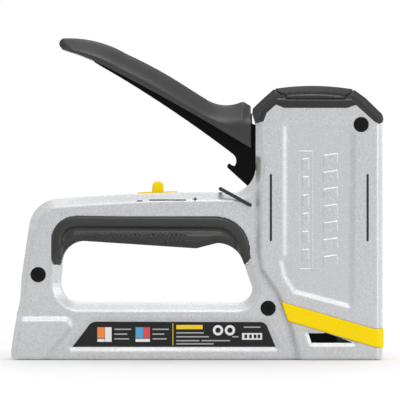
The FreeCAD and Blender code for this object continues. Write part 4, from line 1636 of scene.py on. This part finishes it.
@dataclass
class Selector:
    """The yellow power slider with its thumb tab."""

    half: float = 4.9
    easing: float = 0.8
    pitch: float = 0.3

    def face(self, spots: Array) -> Array:
        """Half width, with eased edges."""
        return self.half - self.easing * (1.0 - ramp(signed_distance(spots, self.outline()), 1.0, 0.45))

    def outline(self) -> Array:
        """The strip and its tab."""
        outline = Outline(-33.3, 92.25).line((-33.3, 94.05), (-25.6, 94.45), (-25.2, 99.0))
        return outline.arc((-22.3, 100.2), (-19.4, 99.0)).line((-19.0, 94.5), (-11.3, 94.7), (-11.3, 92.25)).array()

    def build(self) -> None:
        """Make the slider."""
        inside = lambda spots: signed_distance(spots, self.outline())
        lows, highs = (-33.8, 92.0), (-11.0, 100.6)
        slider = both_sides("power_slider", lows, highs, inside, self.face, self.pitch, self.outline())
        dress(slider, YELLOW, "yellow_plastic", "selector", ["selector_slider"])


@dataclass
class MagazineEnd:
    """The block at the rear of the rail, and the yellow button above it."""

    half: float = 8.6
    latch_half: float = 6.5
    easing: float = 0.7
    ribs: float = 0.15
    rib_pitch: float = 2.6
    pitch: float = 0.35

    def face(self, spots: Array, outline: Array, half: float) -> Array:
        """Half width: eased edges, then ribs that follow a cosine of the height.

        Args:
            spots: points, one row each.
            outline: the piece's outline.
            half: its half width.

        Returns:
            Half width at each spot.
        """
        gap = signed_distance(spots, outline)
        ribs = self.ribs * (1.0 + np.cos(math.tau * spots[:, 1] / self.rib_pitch))
        return half - self.easing * (1.0 - ramp(gap, 0.8, 0.4)) - ribs * ramp(gap - 0.8, 0.8)

    def build(self) -> None:
        """Make the block and the button."""
        block = np.array([(-101.6, 0.5), (-102.0, 8.0), (-100.6, 21.8), (-92.6, 21.8), (-92.6, 0.5)])
        button = Outline(-101.6, 24.0).arc((-101.9, 25.5), (-101.4, 26.9))
        button.line((-93.6, 26.9), (-93.6, 22.2), (-99.4, 22.2), (-99.4, 24.0))
        for name, outline, half, finish, slot, body, node in (
            ("magazine_end", block, self.half, INNER, "inner_plastic", "magazine", "rail_end_cap"),
            ("latch_button", button.array(), self.latch_half, YELLOW, "yellow_plastic", "latch", "release_latch"),
        ):
            inside = lambda spots, edge=outline: signed_distance(spots, edge)
            face = lambda spots, edge=outline, wide=half: self.face(spots, edge, wide)
            low = tuple(outline.min(axis=0) - 0.5)
            high = tuple(outline.max(axis=0) + 0.5)
            dress(both_sides(name, low, high, inside, face, self.pitch, outline), finish, slot, body, [node])


@dataclass
class ScaleMarks:
    """The power marks let into the handle's top facet: a dash, a line and a plus."""

    proud: float = 0.08
    sunk: float = 0.2
    round: float = 0.1
    pitch: float = 0.3

    def marks(self, spots: Array) -> Array:
        """Signed distance to the nearest mark: a dash, a line and the plus's two bars."""
        bars = ((-32.4, 89.2, 3.2, 0.55), (-16.6, 89.7, 21.0, 0.6), (-1.2, 90.2, 2.6, 0.6), (-1.2, 90.2, 0.6, 2.2))
        return np.max([bar(spots, *place, self.round) for place in bars], axis=0)

    def build(self) -> None:
        """Make the marks on both sides."""
        for side in Side:
            shell = Shell(side)
            part = Relief(
                side, (-35.0, 88.0), (1.0, 92.0), self.marks,
                lambda spots: shell.face(spots) + self.proud, lambda spots: shell.face(spots) - self.sunk,
                self.pitch,
            )
            dress(joined(f"scale_marks_{side.name.lower()}", [part]), SCREW, "black_steel", "housing")


class Works:
    """The CAD nodes that keep their own shape: steel lever, striker, magazine and small parts."""

    FINISHES = {
        "nose_plate": STEEL, "lever_pivot_pin": ZINC, "spring_seat": STEEL, "striker_buffer": BUFFER,
        "buffer_bracket": STEEL, "magazine_channel": STEEL, "lever_channel": BLACK, "lifting_arm": ZINC,
        "lever_rivets": ZINC, "striker_block": STEEL, "driver_blade": STEEL, "power_link": INNER,
        "magazine_rail": STEEL, "pusher_rod": ZINC, "staple_pusher": INNER,
    }

    def build(self) -> None:
        """Dress the nodes and make the two springs."""
        for node, finish in self.FINISHES.items():
            thing = bpy.data.objects[node]
            thing.data.materials.clear()
            thing.data.materials.append(finish.material())
        main = Coil("main_coil", (86.0, 0.0, 98.4), 27.7, "Z", radius=6.6, wire=2.2, turns=5.5).build()
        dress(main, SPRING, "spring_steel", "housing", ["main_spring"])
        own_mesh(main)
        pusher = Coil(
            "pusher_coil", (-92.1, 0.0, 6.2), 171.2, "X", radius=1.95, wire=0.7, turns=66.0, steps=14, sides=8
        ).build()
        dress(pusher, SPRING, "spring_steel", "magazine", ["pusher_spring"])
        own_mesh(pusher)


# ------------------------------------------------------------------ studio
@dataclass(frozen=True)
class Lamp:
    """A soft square light: its place, what it looks at, its size and its power."""

    name: str
    place: tuple[float, float, float]
    size: float
    power: float
    target: tuple[float, float, float] = (0.0, 0.0, 0.09)

    def build(self) -> None:
        """Add the light."""
        data = bpy.data.lights.new(self.name, "AREA")
        data.shape, data.size, data.energy = "SQUARE", self.size, self.power
        thing = bpy.data.objects.new(self.name, data)
        thing.visible_camera = False
        thing.location = self.place
        thing.rotation_euler = (Vector(self.target) - Vector(self.place)).to_track_quat("-Z", "Y").to_euler()
        bpy.context.scene.collection.objects.link(thing)


LAMPS = (
    Lamp("above", (-0.1, -0.5, 1.5), 0.9, 1.7),
    Lamp("front", (0.1, -1.2, 1.05), 0.4, 2.4),
    Lamp("left", (-1.4, -0.7, 0.6), 0.8, 0.4),
    Lamp("right", (1.4, -0.8, 0.5), 0.8, 3.4),
    Lamp("behind", (0.3, 1.4, 0.9), 1.0, 2.0),
)


@dataclass
class Studio:
    """A pale floor that fades into an even pale surround, soft lights and the camera."""

    surround: float = 1.0
    dim: float = 0.66
    dim_towards: tuple[float, float, float] = (-0.6, -0.77, -0.2)
    dim_range: tuple[float, float] = (0.45, 0.97)
    floor_tone: float = 0.86
    floor_drop: float = 0.3      # millimetres, so that the floor and the base never share a plane
    floor_radii: tuple[float, float] = (0.05, 1.6)
    floor_fade: tuple[float, float] = (0.22, 0.75)
    floor_sides: int = 64
    camera_place: tuple[float, float, float] = (0.00156, -2.2, 0.0897)
    picture_width: float = 0.2264

    def ring(self, radius: float) -> Array:
        """Points round a circle on the floor.

        Args:
            radius: in metres.

        Returns:
            The points in millimetres, one row each.
        """
        turn = np.linspace(0.0, math.tau, self.floor_sides, endpoint=False)
        reach = radius / MM
        return np.stack([reach * np.cos(turn), reach * np.sin(turn), np.full(len(turn), -self.floor_drop)], 1)

    def floor(self) -> None:
        """A round floor that is clear before its edge, so that no horizon shows."""
        rings = np.stack([self.ring(radius) for radius in np.geomspace(*self.floor_radii, 16)])
        outer = sheet_mesh("floor", rings, capped=False)
        middle = make_mesh("floor_middle", rings[0], [np.arange(self.floor_sides)[None, :]])
        made = bpy.data.materials.new("floor_pale")
        made.use_nodes = True
        graph, shader = Graph(made.node_tree), made.node_tree.nodes["Principled BSDF"]
        shader.inputs["Base Color"].default_value = (self.floor_tone, self.floor_tone, self.floor_tone, 1.0)
        shader.inputs["Roughness"].default_value = 0.7
        where = graph.add("ShaderNodeTexCoord").outputs["Object"]
        reach = graph.add("ShaderNodeVectorMath", operation="LENGTH")
        graph.put(reach.inputs[0], where)
        graph.put(shader.inputs["Alpha"], graph.spread(reach.outputs["Value"], *self.floor_fade, 1.0, 0.0))
        for piece in (outer, middle):
            piece.data.materials.append(made)

    def surroundings(self) -> None:
        """A pale world, dimmer on one side, so that faces square to the camera look darker than facets."""
        world = bpy.data.worlds.new("studio")
        world.use_nodes = True
        graph = Graph(world.node_tree)
        back = world.node_tree.nodes["Background"]
        facing = graph.add("ShaderNodeVectorMath", operation="DOT_PRODUCT")
        graph.put(facing.inputs[0], graph.add("ShaderNodeTexCoord").outputs["Generated"])
        facing.inputs[1].default_value = self.dim_towards
        level = graph.spread(facing.outputs["Value"], *self.dim_range, self.surround, self.dim)
        back.inputs["Color"].default_value = (1.0, 1.0, 1.0, 1.0)
        graph.put(back.inputs["Strength"], level)
        bpy.context.scene.world = world
        bpy.context.scene.view_settings.view_transform = "Standard"

    def camera(self) -> None:
        """A long lens, level with the middle of the gun and square to its side."""
        data = bpy.data.cameras.new("camera")
        distance = -self.camera_place[1]
        data.lens = data.sensor_width * distance / self.picture_width
        data.clip_start, data.clip_end = 0.1, 20.0
        thing = bpy.data.objects.new("camera", data)
        thing.location = self.camera_place
        thing.rotation_euler = (math.pi / 2, 0.0, 0.0)
        bpy.context.scene.collection.objects.link(thing)
        bpy.context.scene.camera = thing

    def build(self) -> None:
        """Set everything up."""
        self.surroundings()
        self.floor()
        for lamp in LAMPS:
            lamp.build()
        self.camera()


# ------------------------------------------------------------------ the whole gun
def write_sizes() -> None:
    """Update the view layer.
    """
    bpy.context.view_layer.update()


def main() -> None:
    logging.basicConfig(level=logging.INFO)
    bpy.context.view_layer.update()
    for side in Side:
        for part in (Shell(side), Grip(side), Label(side), SideRelief(side)):
            part.build()
    for part in (
        Bumper(), NoseBand(), Heads(), Bail(), LeverCover(), Selector(), MagazineEnd(), ScaleMarks(), Works(), Studio(),
    ):
        part.build()
    write_sizes()


if __name__ == "__main__":
    main()
